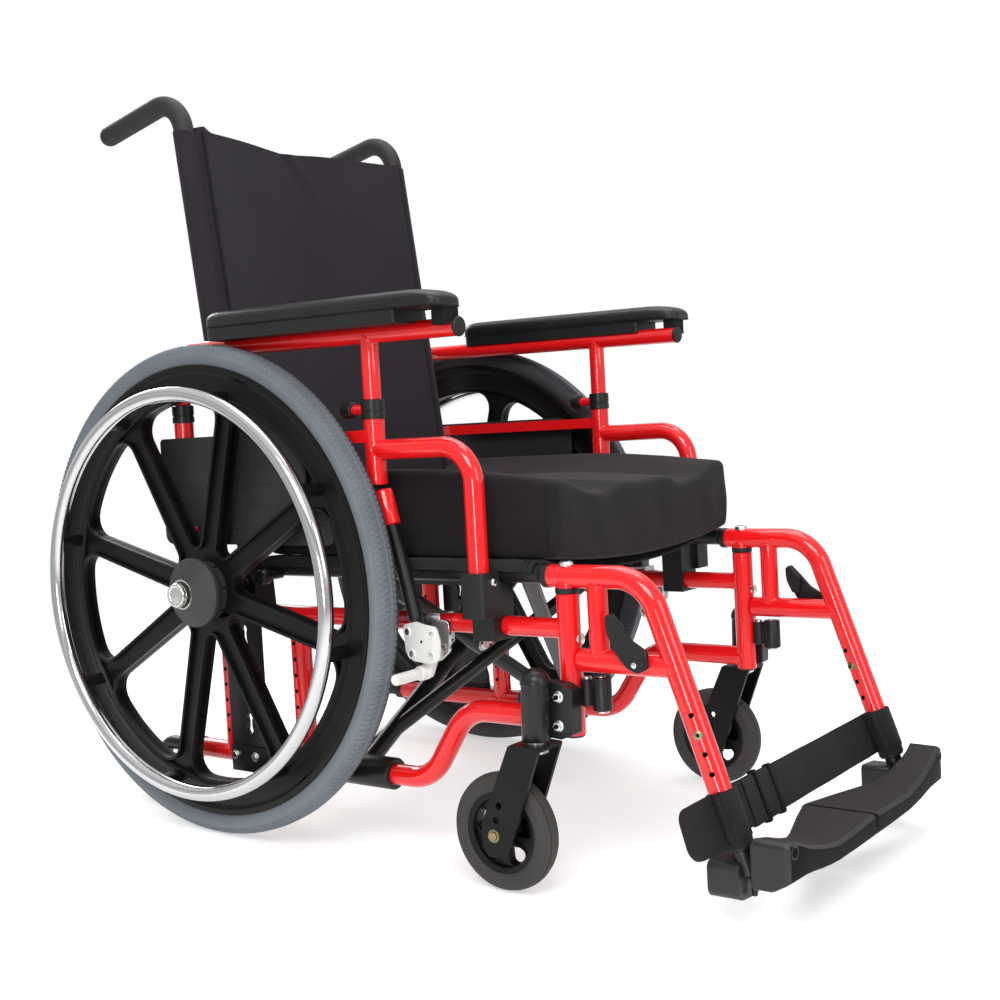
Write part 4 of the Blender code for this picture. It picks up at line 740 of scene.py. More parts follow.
leg_rest.add(turned([(0.0130, -0.0070), (0.0131, -0.0064), (0.0131, 0.0006), (0.0124, 0.0014),
                     (0.0060, 0.0018)], (FRAME_X, HANGER_END_Y, HANGER_Z), REAR), PLASTIC)
leg_rest.bolt((FRAME_X, POST_Y, HANGER_Z + MAIN_R - 0.0006), UP, 0.0080, 0.0042, STEEL, hexed=False,
              socket=DARK)
outward = Vector(OUT) + 0.36 * Vector((0, -math.cos(LEAN), math.sin(LEAN)))
# Single holes, each as a row whose two bores all but coincide
for z in (-0.1180, -0.1565, -0.1760, -0.1955):
    hole_row(leg_rest, on_hanger(z), on_hanger(z) + leg_way * 0.0001, MAIN_R, 2, outward, 0.0028)
for way in (outward, -outward):
    head = on_hanger(-0.1375) + way.normalized() * (MAIN_R - 0.0008)
    leg_rest.bolt(head, way, 0.0052, 0.0030, BRASS, hexed=False, socket=DARK)
leg_rest.add(turned([(MAIN_R + 0.0005, -0.004), (MAIN_R + 0.0011, -0.003), (MAIN_R + 0.0011, 0.0),
                     (0.0100, 0.0002)], on_hanger(END_Z), leg_way), PLASTIC)
pair(leg_rest, "hanger", "leg_rest", ["hanger"])

LATCH_TOP = LOW_Z - MAIN_R - 0.0035
RECEIVER_Y = POST_Y - (MAIN_R + 0.0075) * 0.9659 - 0.0003
receiver = Shapes(CAST, STEEL)
receiver.add(turned([(0.0060, 0.0), (0.0075, 0.001), (0.0075, 0.028), (0.0066, 0.029)],
                    (FRAME_X, RECEIVER_Y, LATCH_TOP - 0.033)))
receiver.add(block((FRAME_X - 0.004, FRAME_X + 0.004), (LEG_BRACE_Y, RECEIVER_Y),
                   (LATCH_TOP - 0.030, LATCH_TOP - 0.007)))
receiver.add(turned([(0.0080, 0.0), (0.0105, 0.0010), (0.0105, 0.0350), (0.0098, 0.0362), (0.0060, 0.0366)],
                    (FRAME_X, LEG_BRACE_Y, LATCH_TOP - 0.037)))
for y, drop, profile in (
        (LEG_BRACE_Y, 0.0395, [(0.0040, 0.0), (0.0070, 0.0006), (0.0070, 0.0034)]),
        (LEG_BRACE_Y, 0.0016, [(0.0048, 0.0), (0.0048, 0.0018), (0.0030, 0.0022)]),
        (RECEIVER_Y, 0.0042, [(0.0046, 0.0), (0.0046, 0.0030), (0.0030, 0.0036)])):
    receiver.add(turned(profile, (FRAME_X, y, LATCH_TOP - drop)), STEEL)
pair(receiver, "latch_receiver", "frame", ["latch_receiver"], bevel=0.0006)


def latch_outline(corners):
    return rounded([(LATCH_Y + a, LOW_Z + b, r) for a, b, r in corners], 8)


latch = Shapes(PLASTIC, STEEL, THREAD)
LATCH_SIDE = FRAME_X + MAIN_R
hollow = [(-0.0100, 0.0190), (0.0026, 0.0265), (0.0145, 0.0395), (0.0230, 0.0480)]
cheek = latch_outline([
    (-0.0150, -0.0020, 0.006), (-0.0030, -0.0075, 0.006), (0.0100, -0.0020, 0.020), (0.0225, 0.0130, 0.030),
    (0.0330, 0.0350, 0.030), (0.0335, 0.0500, 0.003), (0.0285, 0.0540, 0.002),
    *[(a, b, 0.012) for a, b in reversed(hollow)], (-0.0150, 0.0150, 0.003)])
latch.add(prism(cheek, "x", LATCH_SIDE + 0.0003, LATCH_SIDE + 0.0050))
thumb_part = latch_outline([
    (0.0150, 0.0185, 0.002), (0.0250, 0.0185, 0.004), (0.0330, 0.0350, 0.030), (0.0335, 0.0500, 0.003),
    (0.0285, 0.0540, 0.002), (0.0230, 0.0480, 0.010), (0.0140, 0.0385, 0.010)])
latch.add(prism(thumb_part, "x", FRAME_X + 0.0080, LATCH_SIDE + 0.0046))
RIBS = 16
for k in range(RIBS):
    share = k / (RIBS - 1) * 3
    first = min(2, int(share))
    rib = Vector(hollow[first]).lerp(Vector(hollow[first + 1]), share - first)
    rib = (LATCH_Y + rib.x, LOW_Z + rib.y)
    latch.add(rod((LATCH_SIDE + 0.0002, *rib), (LATCH_SIDE + 0.0053, *rib), 0.0007, 8), THREAD)
latch.bolt((LATCH_SIDE + 0.0050, LATCH_Y, LOW_Z + 0.0015), OUT, 0.0034, 0.0018, hexed=False)
latch.add(turned([(0.0040, 0.0), (0.0040, 0.0012), (0.0030, 0.0018)],
                 (LATCH_SIDE + 0.0049, LATCH_Y - 0.0085, LOW_Z + 0.0040), OUT, 20))
pair(latch, "latch_lever", "latch", ["latch_lever"], bevel=0.0005)

# Foot brackets and footplates
FLIP_X, FLIP_Z = 0.187, -0.2850
BRACKET_Y, BRACKET_DEEP = hanger_y(END_Z - 0.014), 0.035
foot_block = Shapes(MOULD, STEEL, DARK, CAST)
foot_block.add(rod(on_hanger(END_Z - 0.0003), on_hanger(-0.275), 0.0100), CAST)
foot_block.add(prism(rounded([(0.178, -0.303, 0.006), (0.224, -0.299, 0.012), (0.224, -0.262, 0.008),
                              (0.178, -0.258, 0.006)], 8), "y", BRACKET_Y, BRACKET_Y + BRACKET_DEEP))
foot_block.add(block((0.1800, 0.1950), (BRACKET_Y - 0.0006, BRACKET_Y + 0.004), (-0.2990, -0.2640)), DARK)
foot_block.add(rod((FLIP_X, BRACKET_Y + 0.005, FLIP_Z), (FLIP_X, -0.7175, FLIP_Z), 0.0045), STEEL)
foot_block.add(rod((0.1990, BRACKET_Y - 0.0040, -0.2560), (0.2010, BRACKET_Y - 0.0060, -0.2980), 0.0030, 14),
               CAST)
foot_block.bolt((0.201, BRACKET_Y + BRACKET_DEEP, -0.284), REAR, 0.0050, 0.0034)
pair(foot_block, "foot_bracket", "leg_rest", ["foot_bracket"], bevel=0.0008)

NOSE_Y = -0.7461
FOOT_SIDES, TOP_SIDE, NOSE_SIDES = 21, 2, range(7, 12)


def foot_section(x, rear, top_rear, ridge, set_back, sole, heel, under=0.0):
    """Points round one slice, with the nose, ridge and edges softened."""
    nose_y = NOSE_Y + set_back
    corners = [(rear, top_rear, 0.0012), (nose_y + 0.0044, ridge, 0.0004), (nose_y, ridge - 0.0030, 0.0012),
               (nose_y + 0.0005, sole + 0.003, 0.0012), (nose_y + 0.004, sole, 0.0010),
               (nose_y + 0.018, heel, 0.001), (rear, heel, 0.0012)]
    ring = []
    for i, (y, z, r) in enumerate(corners):
        here, before, after = Vector((y, z)), Vector(corners[i - 1][:2]), Vector(corners[(i + 1) % 7][:2])
        back, ahead = before - here, after - here
        around_corner = [here + back.normalized() * min(r * 1.6, back.length * 0.4),
                         here + (back.normalized() + ahead.normalized()) * r * 0.28,
                         here + ahead.normalized() * min(r * 1.6, ahead.length * 0.4)]
        ring += [(x if i < 2 else x + under, *p) for p in around_corner]
    return ring


STATIONS = [
    (0.2190, -0.7020, -0.2400, -0.2412, 0.0080, -0.2785, -0.2840),
    (0.2178, -0.7030, -0.2366, -0.2376, 0.0050, -0.2778, -0.2850),
    (0.2140, -0.7045, -0.2340, -0.2346, 0.0030, -0.2770, -0.2850),
    (0.1950, -0.7075, -0.2378, -0.2386, 0.0010, -0.2762, -0.2850),
    (0.1760, -0.7070, -0.2440, -0.2468, 0.0004, -0.2765, -0.2850),
    (0.1600, -0.7048, -0.2490, -0.2518, 0.0002, -0.2782, -0.2850),
    (0.1400, -0.7025, -0.2542, -0.2572, 0.0000, -0.2812, -0.2850),
    (0.1180, -0.6955, -0.2580, -0.2616, 0.0000, -0.2836, -0.2850),
    (0.1000, -0.6890, -0.2602, -0.2644, 0.0000, -0.2850, -0.2855),
    (0.0520, -0.6735, -0.2606, -0.2634, 0.0000, -0.2856, -0.2860),
    (0.0024, -0.6590, -0.2610, -0.2616, 0.0000, -0.2856, -0.2860, 0.0026),
]
foot = Shapes(MOULD, DARK, STEEL, TREAD, CAST, NOSE_SHADE)
foot.add(loft([foot_section(*s) for s in STATIONS]))
for r in range(2, len(STATIONS) - 1):
    first = 1 + r * FOOT_SIDES
    foot.repaint([first + TOP_SIDE], TREAD)
    # the nose faces carry the painted shade
    foot.repaint([first + k for k in NOSE_SIDES], NOSE_SHADE)
cap, cap_way = (0.2075, NOSE_Y + 0.0022, -0.2455), (0.12, -0.99, 0.0)
foot.add(turned([(0.0066, -0.004), (0.0066, 0.0006), (0.0052, 0.0008)], cap, cap_way), CAST)
foot.add(turned([(0.0052, 0.0004), (0.0052, 0.0010), (0.0020, 0.0011)], cap, cap_way, 28), DARK)
pair(foot, "footplate", "plate", ["footplate"], sharp=16)

# Armrests
ARM_X, ARM_R, LOOP_R, RAIL_R = 0.2405, 0.0123, 0.0116, 0.0106
ARM_POST_Y, ARM_REAR_Y, ARM_LOOP_Y, RAIL_FRONT = -0.260, 0.068, -0.400, -0.390
COLLAR_Z, SLEEVE_Z, SOCKET_Z, LOOP_Z, ARM_LOW_Z = 0.202, 0.112, -0.020, 0.165, 0.131
ARM_SLOPE = 0.014
arm = Shapes(RED, PLASTIC, DARK, CAST)
arm.add(rod((ARM_X, ARM_POST_Y, SLEEVE_Z + 0.013), (ARM_X, ARM_POST_Y, COLLAR_Z), ARM_R))
arm.add(tube(bent([(ARM_X, ARM_POST_Y, LOOP_Z), (ARM_X, ARM_LOOP_Y, LOOP_Z), (ARM_X, ARM_LOOP_Y, SOCKET_Z)],
                  0.042, 3), LOOP_R, 32))
arm.add(bead((ARM_X, ARM_POST_Y, LOOP_Z), FRONT, UP, LOOP_R, ARM_R))
arm.add(rod((ARM_X, ARM_REAR_Y, SOCKET_Z), (ARM_X, ARM_REAR_Y, COLLAR_Z + 0.010), ARM_R))
for y, z in ((ARM_POST_Y, COLLAR_Z), (ARM_REAR_Y, COLLAR_Z + 0.010)):
    collar = [(0.0, -0.002), (0.0016, -0.0012), (0.0016, 0.0060), (0.0008, 0.0066), (0.0008, 0.0080),
              (0.0016, 0.0086), (0.0016, 0.0200)]
    arm.add(turned([*[(ARM_R + out, h) for out, h in collar], (0.0110, 0.0212)], (ARM_X, y, z)), CAST)
arm.add(rod((ARM_X, ARM_POST_Y + 0.008, COLLAR_Z + 0.010), (ARM_X, ARM_POST_Y + 0.034, COLLAR_Z + 0.010),
            0.0060))
arm.add(turned([(0.0078, 0.0), (0.0095, 0.0014), (0.0095, 0.0138), (0.0080, 0.0158), (0.0040, 0.0164)],
               (ARM_X, ARM_POST_Y + 0.029, COLLAR_Z + 0.010), REAR), PLASTIC)
arm.add(block((ARM_X - 0.004, ARM_X + ARM_R), (ARM_POST_Y, ARM_REAR_Y), (0.174, 0.188)))
pair(arm, "arm_lower", "armrest", ["arm_lower"])

PANEL_X = ARM_X + ARM_R + 0.0003
panel = Shapes(PANEL, RED)
panel.add(prism(rounded([(-0.200, 0.055, 0.012), (0.100, 0.055, 0.012), (0.100, 0.191, 0.006),
                         (-0.200, 0.191, 0.020)]), "x", PANEL_X, PANEL_X + 0.0019))
for z in (0.075, 0.100, 0.125, 0.150):
    panel.add(block((PANEL_X + 0.001, PANEL_X + 0.0025), (-0.185, 0.092), (z, z + 0.004)))
for y, z in ((-0.1655, 0.146), (0.0418, 0.0745)):
    panel.bolt((PANEL_X + 0.0018, y, z), OUT, 0.0042, 0.0012, hexed=False)
pair(panel, "side_panel", "armrest", ["side_panel"], bevel=0.0005)


def rail_z(y):
    return 0.297 + (y - ARM_POST_Y) * ARM_SLOPE


def on_rail(y):
    return (ARM_X, y, rail_z(y))


arm_top = Shapes(RED, PLASTIC, DARK)
arm_top.add(tube(bent([on_rail(RAIL_FRONT), on_rail(ARM_REAR_Y), (ARM_X, ARM_REAR_Y, ARM_LOW_Z)], 0.028, 4),
                 RAIL_R))
arm_top.add(rod((ARM_X, ARM_POST_Y, ARM_LOW_Z), on_rail(ARM_POST_Y), RAIL_R))
arm_top.add(bead(on_rail(ARM_POST_Y), DOWN, REAR, RAIL_R, RAIL_R + 0.0002))
arm_top.add(turned([(0.0100, -0.001), (0.0111, -0.0002), (0.0111, 0.0022), (0.0096, 0.0038),
                    (0.0050, 0.0044)], on_rail(RAIL_FRONT), (0, -1, -ARM_SLOPE)), PLASTIC)
pair(arm_top, "arm_upper", "arm_top", ["arm_upper"])

PAD_X, PAD_HALF, PAD_BASE, PAD_THICK = 0.2560, 0.028, 0.3030, 0.0365
PAD_FRONT, PAD_REAR, PAD_FLOOR = -0.393, -0.0255, 0.0150
PAD_STEP, PAD_SIDES = PAD_FRONT + 0.058, 48
PAD_FRONT_END = [(0.0, 0.50, 0.42), (0.0012, 0.62, 0.52), (0.0030, 0.72, 0.61), (0.0060, 0.81, 0.70),
                 (0.0100, 0.88, 0.78), (0.0160, 0.94, 0.86), (0.0240, 0.98, 0.92), (0.0340, 1.0, 0.965),
                 (0.0460, 1.0, 1.0)]
PAD_REAR_END = [(0.0, 0.50, 0.50), (0.0012, 0.64, 0.62), (0.0030, 0.75, 0.74), (0.0060, 0.85, 0.85),
                (0.0100, 0.92, 0.92), (0.0160, 0.97, 0.97), (0.0240, 1.0, 1.0)]


def pad_low(y):
    return PAD_BASE + (y - ARM_POST_Y) * ARM_SLOPE


def pad_stations(count):
    """Slices of the pad as (y, width, height), the last two as shares of its full size."""
    middle = np.linspace(PAD_FRONT + 0.06, PAD_REAR - 0.04, count)
    return ([(PAD_FRONT + gone, w, h) for gone, w, h in PAD_FRONT_END] + [(y, 1.0, 1.0) for y in middle]
            + [(PAD_REAR - gone, w, h) for gone, w, h in reversed(PAD_REAR_END)])


def pad_ring(y, wide, tall):
    """The cushioned upper part: nearly flat below, full at the sides and crowned on top."""
    high = (PAD_THICK - PAD_FLOOR) * tall
    mid = min(0.0060, high * 0.4)
    ring = []
    for k in range(PAD_SIDES):
        a = math.tau * k / PAD_SIDES
        ca, sa = math.cos(a), math.sin(a)
        x = PAD_HALF * wide * math.copysign(abs(ca) ** (0.55 if sa > 0 else 0.36), ca)
        z = mid + (high - mid) * abs(sa) ** 0.72 if sa > 0 else mid - mid * abs(sa) ** 0.35
        ring.append((PAD_X + x, y, pad_low(y) + PAD_FLOOR + z))
    return ring


def pad_seam(side, stations):
    return [(PAD_X + side * PAD_HALF * w * 1.001, y, pad_low(y) + PAD_FLOOR + 0.0012) for y, w, h in stations]


pad = Shapes(PAD, PLASTIC, THREAD)
pad.add(loft([pad_ring(*station) for station in pad_stations(24)]))
stations = pad_stations(12)
pad.add(tube(pad_seam(1, stations) + pad_seam(-1, stations[::-1]), 0.0006, 8, closed=True), THREAD)
base = rounded([(PAD_X - 0.0272, PAD_STEP, 0.003), (PAD_X + 0.0272, PAD_STEP, 0.003),
                (PAD_X + 0.0272, PAD_REAR - 0.0010, 0.016), (PAD_X - 0.0272, PAD_REAR - 0.0010, 0.016)])
pad.add(loft([[(x, y, pad_low(y) + rise) for x, y in base] for rise in (0.0006, PAD_FLOOR + 0.0010)]),
        PLASTIC)
foot_y = PAD_FRONT + 0.0120
pad.add(block((ARM_X - 0.0040, PAD_X + 0.0080), (foot_y - 0.0080, foot_y + 0.0080),
              (rail_z(foot_y) + 0.0020, pad_low(foot_y) + PAD_FLOOR + 0.001)), THREAD)
for piece in pair(pad, "arm_pad", "arm_top", ["arm_pad"], bevel=0.0006):
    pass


# Sockets and plates: the solids' own shapes with softened edges and their bolts
def softened(node, surface):
    """A copy of a CAD node's mesh, joined up and with its edges rounded off."""
    mesh = frame["nodes"][node].data.copy()
    mesh.name = node + "_soft"
    work = bmesh.new()
    work.from_mesh(mesh)
    bmesh.ops.remove_doubles(work, verts=work.verts, dist=0.00001)
    bmesh.ops.dissolve_limit(work, angle_limit=math.radians(1.0), verts=work.verts, edges=work.edges)
    work.to_mesh(mesh)
    work.free()
    mesh.materials.clear()
    mesh.materials.append(surface)
    mesh.polygons.foreach_set("material_index", [0] * len(mesh.polygons))
    smooth(mesh)
    piece = show(node + "_shown", mesh, 0.0007)
    body = next(b for b, names in frame["record"]["behaviour"]["bodies"].items() if node in names)
    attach(piece, body)
    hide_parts(node)


for side in ("left", "right"):
    softened("axle_plate_" + side, CAST)
    softened("front_socket_" + side, PLASTIC)
    softened("rear_socket_" + side, PLASTIC)
    softened("lock_plate_" + side, CHROME)

bits = Shapes(STEEL, CAST, DARK)
for x, y, z, surface in ((0.2315, 0.0200, -0.2195, STEEL), (0.2315, -0.0160, -0.2200, STEEL),
                         (0.2265, -0.016, 0.004, CAST), (0.2265, 0.018, -0.004, CAST)):
    bits.bolt((x, y, z), OUT, 0.0050, 0.0036, surface)
bits.add(turned([(0.0050, 0.0), (0.0050, 0.022), (0.0085, 0.023), (0.0095, 0.026), (0.0095, 0.034),
                 (0.0080, 0.037), (0.0040, 0.038)], (0.214, -0.066, 0.014), OUT, 28), CAST)
bits.bolt((0.2370, ARM_LOOP_Y - 0.0162, 0.0150), FRONT, 0.0044, 0.0030, STEEL, hexed=False, socket=DARK)
bits.bolt((0.2192, -0.010, -0.037), OUT, 0.0046, 0.0030)
bits.add(turned([(0.0030, 0.0), (0.0064, 0.0010), (0.0064, 0.0032), (0.0050, 0.0042)],
                (FRAME_X, POST_Y - 0.0122, -0.0475), FRONT))
pair(bits, "frame_bolts", "frame")

# Back canes with their push handles
CANE_LEAN, DROOP = math.radians(7.1), math.radians(10.5)
HANDLE_Z, TIP_Y, CANE_R, GRIP_R, GRIP_LOW = 0.6336, 0.2262, 0.0125, 0.0131, 0.582


def cane_y(z):
    return -0.0035 + z * math.tan(CANE_LEAN)


def on_cane(z):
    return Vector((FRAME_X, cane_y(z), z))


cane = Shapes(CAST, RUBBER)
cane.add(rod(on_cane(-0.018), on_cane(0.585), CANE_R, 32))
slope = Vector((0, 1, -math.tan(DROOP))).normalized()
tip_z = HANDLE_Z - (TIP_Y - cane_y(HANDLE_Z)) * math.tan(DROOP)
last = Vector((FRAME_X, TIP_Y, tip_z)) - slope * GRIP_R + Vector((0, 0.0064, -0.0020))
corner = (FRAME_X, cane_y(HANDLE_Z) + 0.0026, HANDLE_Z)
cane.add(tube(bent([on_cane(GRIP_LOW), corner, last], 0.042, 3), GRIP_R, 36, edge=0.0), RUBBER)
cane.add(turned(arc((0, 0), GRIP_R, 0, 88, 10), last, slope, 36), RUBBER)
pair(cane, "back_cane", "frame", ["back_cane"])

# Wheel locks
LOCK_Y, LOCK_Z, LEVER_X = -TYRE_R - 0.017, -0.050, 0.2408
GRIP_REACH = Vector((0, 0.0105, 0.0415))
lever = Shapes(CAST, RED, STEEL)
lever.add(tube(bent([(LEVER_X + 0.0042, LOCK_Y + 0.002, -0.052), (LEVER_X + 0.0040, LOCK_Y + 0.012, -0.028),
                     (ARM_X, LOCK_Y + 0.0335, 0.040), (ARM_X, LOCK_Y + 0.0464, 0.0810)], 0.012),
               lambda share: 0.0058 + 0.0028 * min(1.0, share / 0.25)))
lever.add(rod((LEVER_X, LOCK_Y, LOCK_Z), (LEVER_X + 0.0080, LOCK_Y, LOCK_Z), 0.0069))
reach = GRIP_REACH.length
lever.add(turned([(0.0095, 0.0), (0.0118, 0.0014), (0.0118, reach - 0.0034), (0.0106, reach - 0.0012),
                  (0.0076, reach)], (ARM_X, LOCK_Y + 0.0450, 0.0775), GRIP_REACH.normalized(), 36), RED)
lever.bolt((LEVER_X + 0.0080, LOCK_Y, LOCK_Z), OUT, 0.0040, 0.0030, STEEL)
pair(lever, "lock_lever", "lever", ["lock_lever"])

SHOE_Y, SHOE_Z = LOCK_Y + 0.0035, -0.0885
LINK = (SHOE_Y - 0.0185, -0.062)
SHOE_FROM, COVER_X = LEVER_X + 0.001, 0.2532
SHOE_LONG = TYRE_X + 0.020 - SHOE_FROM
shoe = Shapes(PALE, STEEL, DARK)
shoe.add(prism(rounded([(SHOE_Y - 0.0255, -0.055, 0.005), (SHOE_Y - 0.0105, -0.059, 0.005),
                        (SHOE_Y + 0.0070, -0.0895, 0.005), (SHOE_Y - 0.0080, -0.0965, 0.005)], 5)[::-1],
               "x", LEVER_X, LEVER_X + 0.0060))
shoe.add(turned([(0.0060, 0.0), (0.0086, 0.0010), (0.0086, 0.0130), (0.0074, 0.0146)],
                (LEVER_X, SHOE_Y, SHOE_Z), OUT))
ridges = [(0.0060, 0.0)]
for k in range(14):
    at = 0.002 + (SHOE_LONG - 0.004) * k / 13.5
    ridges += [(0.0064, at), (0.0064, at + 0.0018), (0.0052, at + 0.0023), (0.0052, at + 0.0032)]
shoe.add(turned([*ridges[:-2], (0.0058, SHOE_LONG)], (SHOE_FROM, SHOE_Y, SHOE_Z), OUT, 24))
shoe.bolt((LEVER_X + 0.0060, *LINK), OUT, 0.0038, 0.0028)
shoe.add(rod((LEVER_X + 0.0050, *LINK), (COVER_X + 0.0008, *LINK), 0.0050))
cover = rounded([(-0.2980, -0.0340, 0.005), *[(y, z, 0.006) for y, z in (
    (-0.3180, -0.0295), (-0.3300, -0.0325), (-0.3470, -0.0345), (-0.3515, -0.0500), (-0.3490, -0.0715),
    (-0.3370, -0.0765), (-0.3110, -0.0745), (-0.3010, -0.0650))]], 5)
shoe.add(prism(cover, "x", COVER_X, COVER_X + 0.0020))
for y, z in ((-0.3045, -0.0415), (-0.3400, -0.0435), (-0.3095, -0.0665), (-0.3380, -0.0675)):
    boss = (COVER_X + 0.0019, y, z)
    shoe.add(turned([(0.0030, -0.0040), (0.0058, -0.0034), (0.0058, 0.0009), (0.0050, 0.0016),
                     (0.0042, 0.0016), (0.0038, 0.0006)], boss, OUT, 28))
    shoe.add(turned([(0.0036, 0.0004), (0.0036, 0.0010), (0.0022, 0.0012)], boss, OUT, 24), STEEL)
shoe.add(turned([(0.0016, 0.0), (0.0016, 0.0003)], (COVER_X + 0.0019, -0.3245, -0.0520), OUT, 16), DARK)
pair(shoe, "lock_shoe", "shoe", ["lock_shoe"])

# Anti-tip tubes and wheels
TIP, TIP_X = (0.2030, -0.2610), FRAME_X + 0.0110
tip = Shapes(CAST, STEEL)
tip.add(tube(bent([(FRAME_X, 0.092, LOWER_Z), (FRAME_X, 0.183, LOWER_Z), (FRAME_X, TIP[0], TIP[1] + 0.0020)],
                  0.022), 0.0095))
tip.add(rod((FRAME_X - 0.004, *TIP), (FRAME_X + 0.026, *TIP), 0.0045, 16), STEEL)
pair(tip, "anti_tip", "anti_tipper", ["anti_tip"])

small = Shapes(ROLLER, WHEEL)
small.add(revolve(rounded([
    (0.0120, 0.0, 0), (0.0190, 0.0004, 0.001), (0.0219, 0.0035, 0.003), (0.0219, 0.0095, 0.003),
    (0.0190, 0.0126, 0.001), (0.0120, 0.0130, 0)], 4), TIP, 48, TIP_X))
small.add(revolve([(0.0048, 0.0006), (0.0125, 0.0012), (0.0125, 0.0118), (0.0048, 0.0124)], TIP, 32, TIP_X),
          WHEEL)
pair(small, "anti_tip_wheel", "anti_wheel", ["anti_tip_wheel"])

# Cross braces with the seat rails they carry
SEAT_Z, SEAT_R, SEAT_ENDS = 0.022, 0.0110, (-0.4605, -0.034)
PIVOT_Z = (LOWER_Z + SEAT_Z) / 2
BRACE_A_Y = -0.1775


def brace(side, main_y, arm_low_y, arm_high_y):
    low, high = side * FRAME_X, -side * FRAME_X
    shapes = Shapes(CAST, STEEL, PLASTIC)
    shapes.add(turned([(0.0130, 0.0), (0.0182, 0.0006), (0.0190, 0.0018), (0.0190, 0.1062), (0.0182, 0.1074),
                       (0.0130, 0.1080)], (low, -0.232, LOWER_Z), REAR, 40))
    shapes.add(rod((low, main_y, LOWER_Z), (high, main_y, SEAT_Z), 0.0110))
    shapes.add(rod((low, arm_low_y, LOWER_Z), (high, arm_high_y, SEAT_Z), 0.0095))
    shapes.add(rod((high, SEAT_ENDS[0], SEAT_Z), (high, SEAT_ENDS[1], SEAT_Z), SEAT_R))
    for y, way in zip(SEAT_ENDS, (FRONT, REAR)):
        shapes.add(turned([(0.0108, -0.0012), (0.0114, 0.0), (0.0114, 0.0016), (0.0096, 0.0030),
                           (0.0040, 0.0034)], (high, y, SEAT_Z), way), PLASTIC)
    return shapes


brace_a = brace(-1, BRACE_A_Y, -0.150, -0.345)
brace_a.add(rod((0, BRACE_A_Y, PIVOT_Z), (0, -0.2145, PIVOT_Z), 0.0054))
brace_a.bolt((0, -0.2140, PIVOT_Z), FRONT, 0.0078, 0.0055)
single(brace_a, "cross_brace_a", "brace_a", ["cross_brace_a"])
single(brace(1, -0.2025, -0.218, -0.440), "cross_brace_b", "brace_b", ["cross_brace_b"])

# Seat sling
SLING_R, SLING_FRONT, SLING_REAR, SLING_THICK = SEAT_R + 0.0006, -0.455, -0.040, 0.0026


def sling_sag(x):
    return 0.014 * max(0.0, 1 - (x / (FRAME_X - 0.012)) ** 2)


def sling_ring(y, thick):
    """The cloth over both rails, its edges hanging down their outer sides and its front edge slack."""
    slack = 0.010 * math.exp(-((y - SLING_FRONT) / 0.030) ** 2)
    span = [(x, SEAT_Z + SLING_R + thick - sling_sag(x) - slack * max(0.0, 1 - (x / 0.19) ** 4))
            for x in np.linspace(0.0, 0.19, 20)]
    hem = arc((FRAME_X, SEAT_Z), SLING_R + thick, 95, 12, 8)
    side = [(float(x), float(z)) for x, z in span + hem]
    row = [(-x, z) for x, z in reversed(side[1:])] + side
    return [(x, y, z + 0.0004 * math.sin(y * 190 + x * 9)) for x, z in row]


sling = Shapes(SLING, THREAD)
sling.add(loft([sling_ring(float(y), SLING_THICK) + sling_ring(float(y), 0.0004)[::-1]
                for y in np.linspace(SLING_FRONT, SLING_REAR, 40)]))
for y in (-0.449, -0.442):
    stitches = [Vector(p) + Vector((0, 0, 0.0002)) for p in sling_ring(y, SLING_THICK)]
    sling.add(tube(stitches, 0.0005, 6), THREAD)
sling_piece = make(sling, "seat_sling_shown")
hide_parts("seat_sling")

# Seat cushion
CUSHION_FRONT, CUSHION_REAR, CUSHION_HALF = -0.4765, -0.0300, 0.200
CUSHION_HALF_LONG, BOX_HALF = (CUSHION_REAR - CUSHION_FRONT) / 2, 0.05
TROUGH_X = 0.100


def trough(x):
    """How deep the cushion is hollowed under a leg, as a share, with a lower ridge between the two."""
    away = abs(abs(x) - TROUGH_X) / 0.090
    deep = math.cos(away * math.pi / 2) ** 2 if away < 1 else 0.0
    return max(deep, 0.55) if abs(x) < TROUGH_X else deep


def cushion_top(x, y):
    share = min(1.0, max(0.0, (y - CUSHION_FRONT) / (CUSHION_REAR - CUSHION_FRONT)))
    edge = 0.1235 + 0.0180 * math.sin(math.pi / 2 * min(1.0, share / 0.5))
    bowl = 0.022 * math.sin(math.pi / 2 * share) * (1 - (x / CUSHION_HALF) ** 4)
    return edge - 0.022 * trough(x) * (1 - 0.75 * share) - bowl


def soft_box(halves, radius, step):
    """The six faces of a rounded box as one joined grid."""
    work = bmesh.new()
    counts = [max(2, round(2 * h / step)) for h in halves]
    for axis in range(3):
        u, v = (axis + 1) % 3, (axis + 2) % 3
        for sign in (-1, 1):
            grid = []
            for i in range(counts[u] + 1):
                row = []
                for j in range(counts[v] + 1):
                    p = [0.0, 0.0, 0.0]
                    p[axis] = sign * halves[axis]
                    p[u] = -halves[u] + 2 * halves[u] * i / counts[u]
                    p[v] = -halves[v] + 2 * halves[v] * j / counts[v]
                    core = Vector([max(-(h - radius), min(h - radius, c)) for c, h in zip(p, halves)])
                    row.append(work.verts.new(core + (Vector(p) - core).normalized() * radius))
                grid.append(row)
            for i in range(counts[u]):
                for j in range(counts[v]):
                    quad = (grid[i][j], grid[i + 1][j], grid[i + 1][j + 1], grid[i][j + 1])
                    work.faces.new(quad if sign > 0 else tuple(reversed(quad)))
    bmesh.ops.remove_doubles(work, verts=work.verts, dist=step * 0.02)
    return work


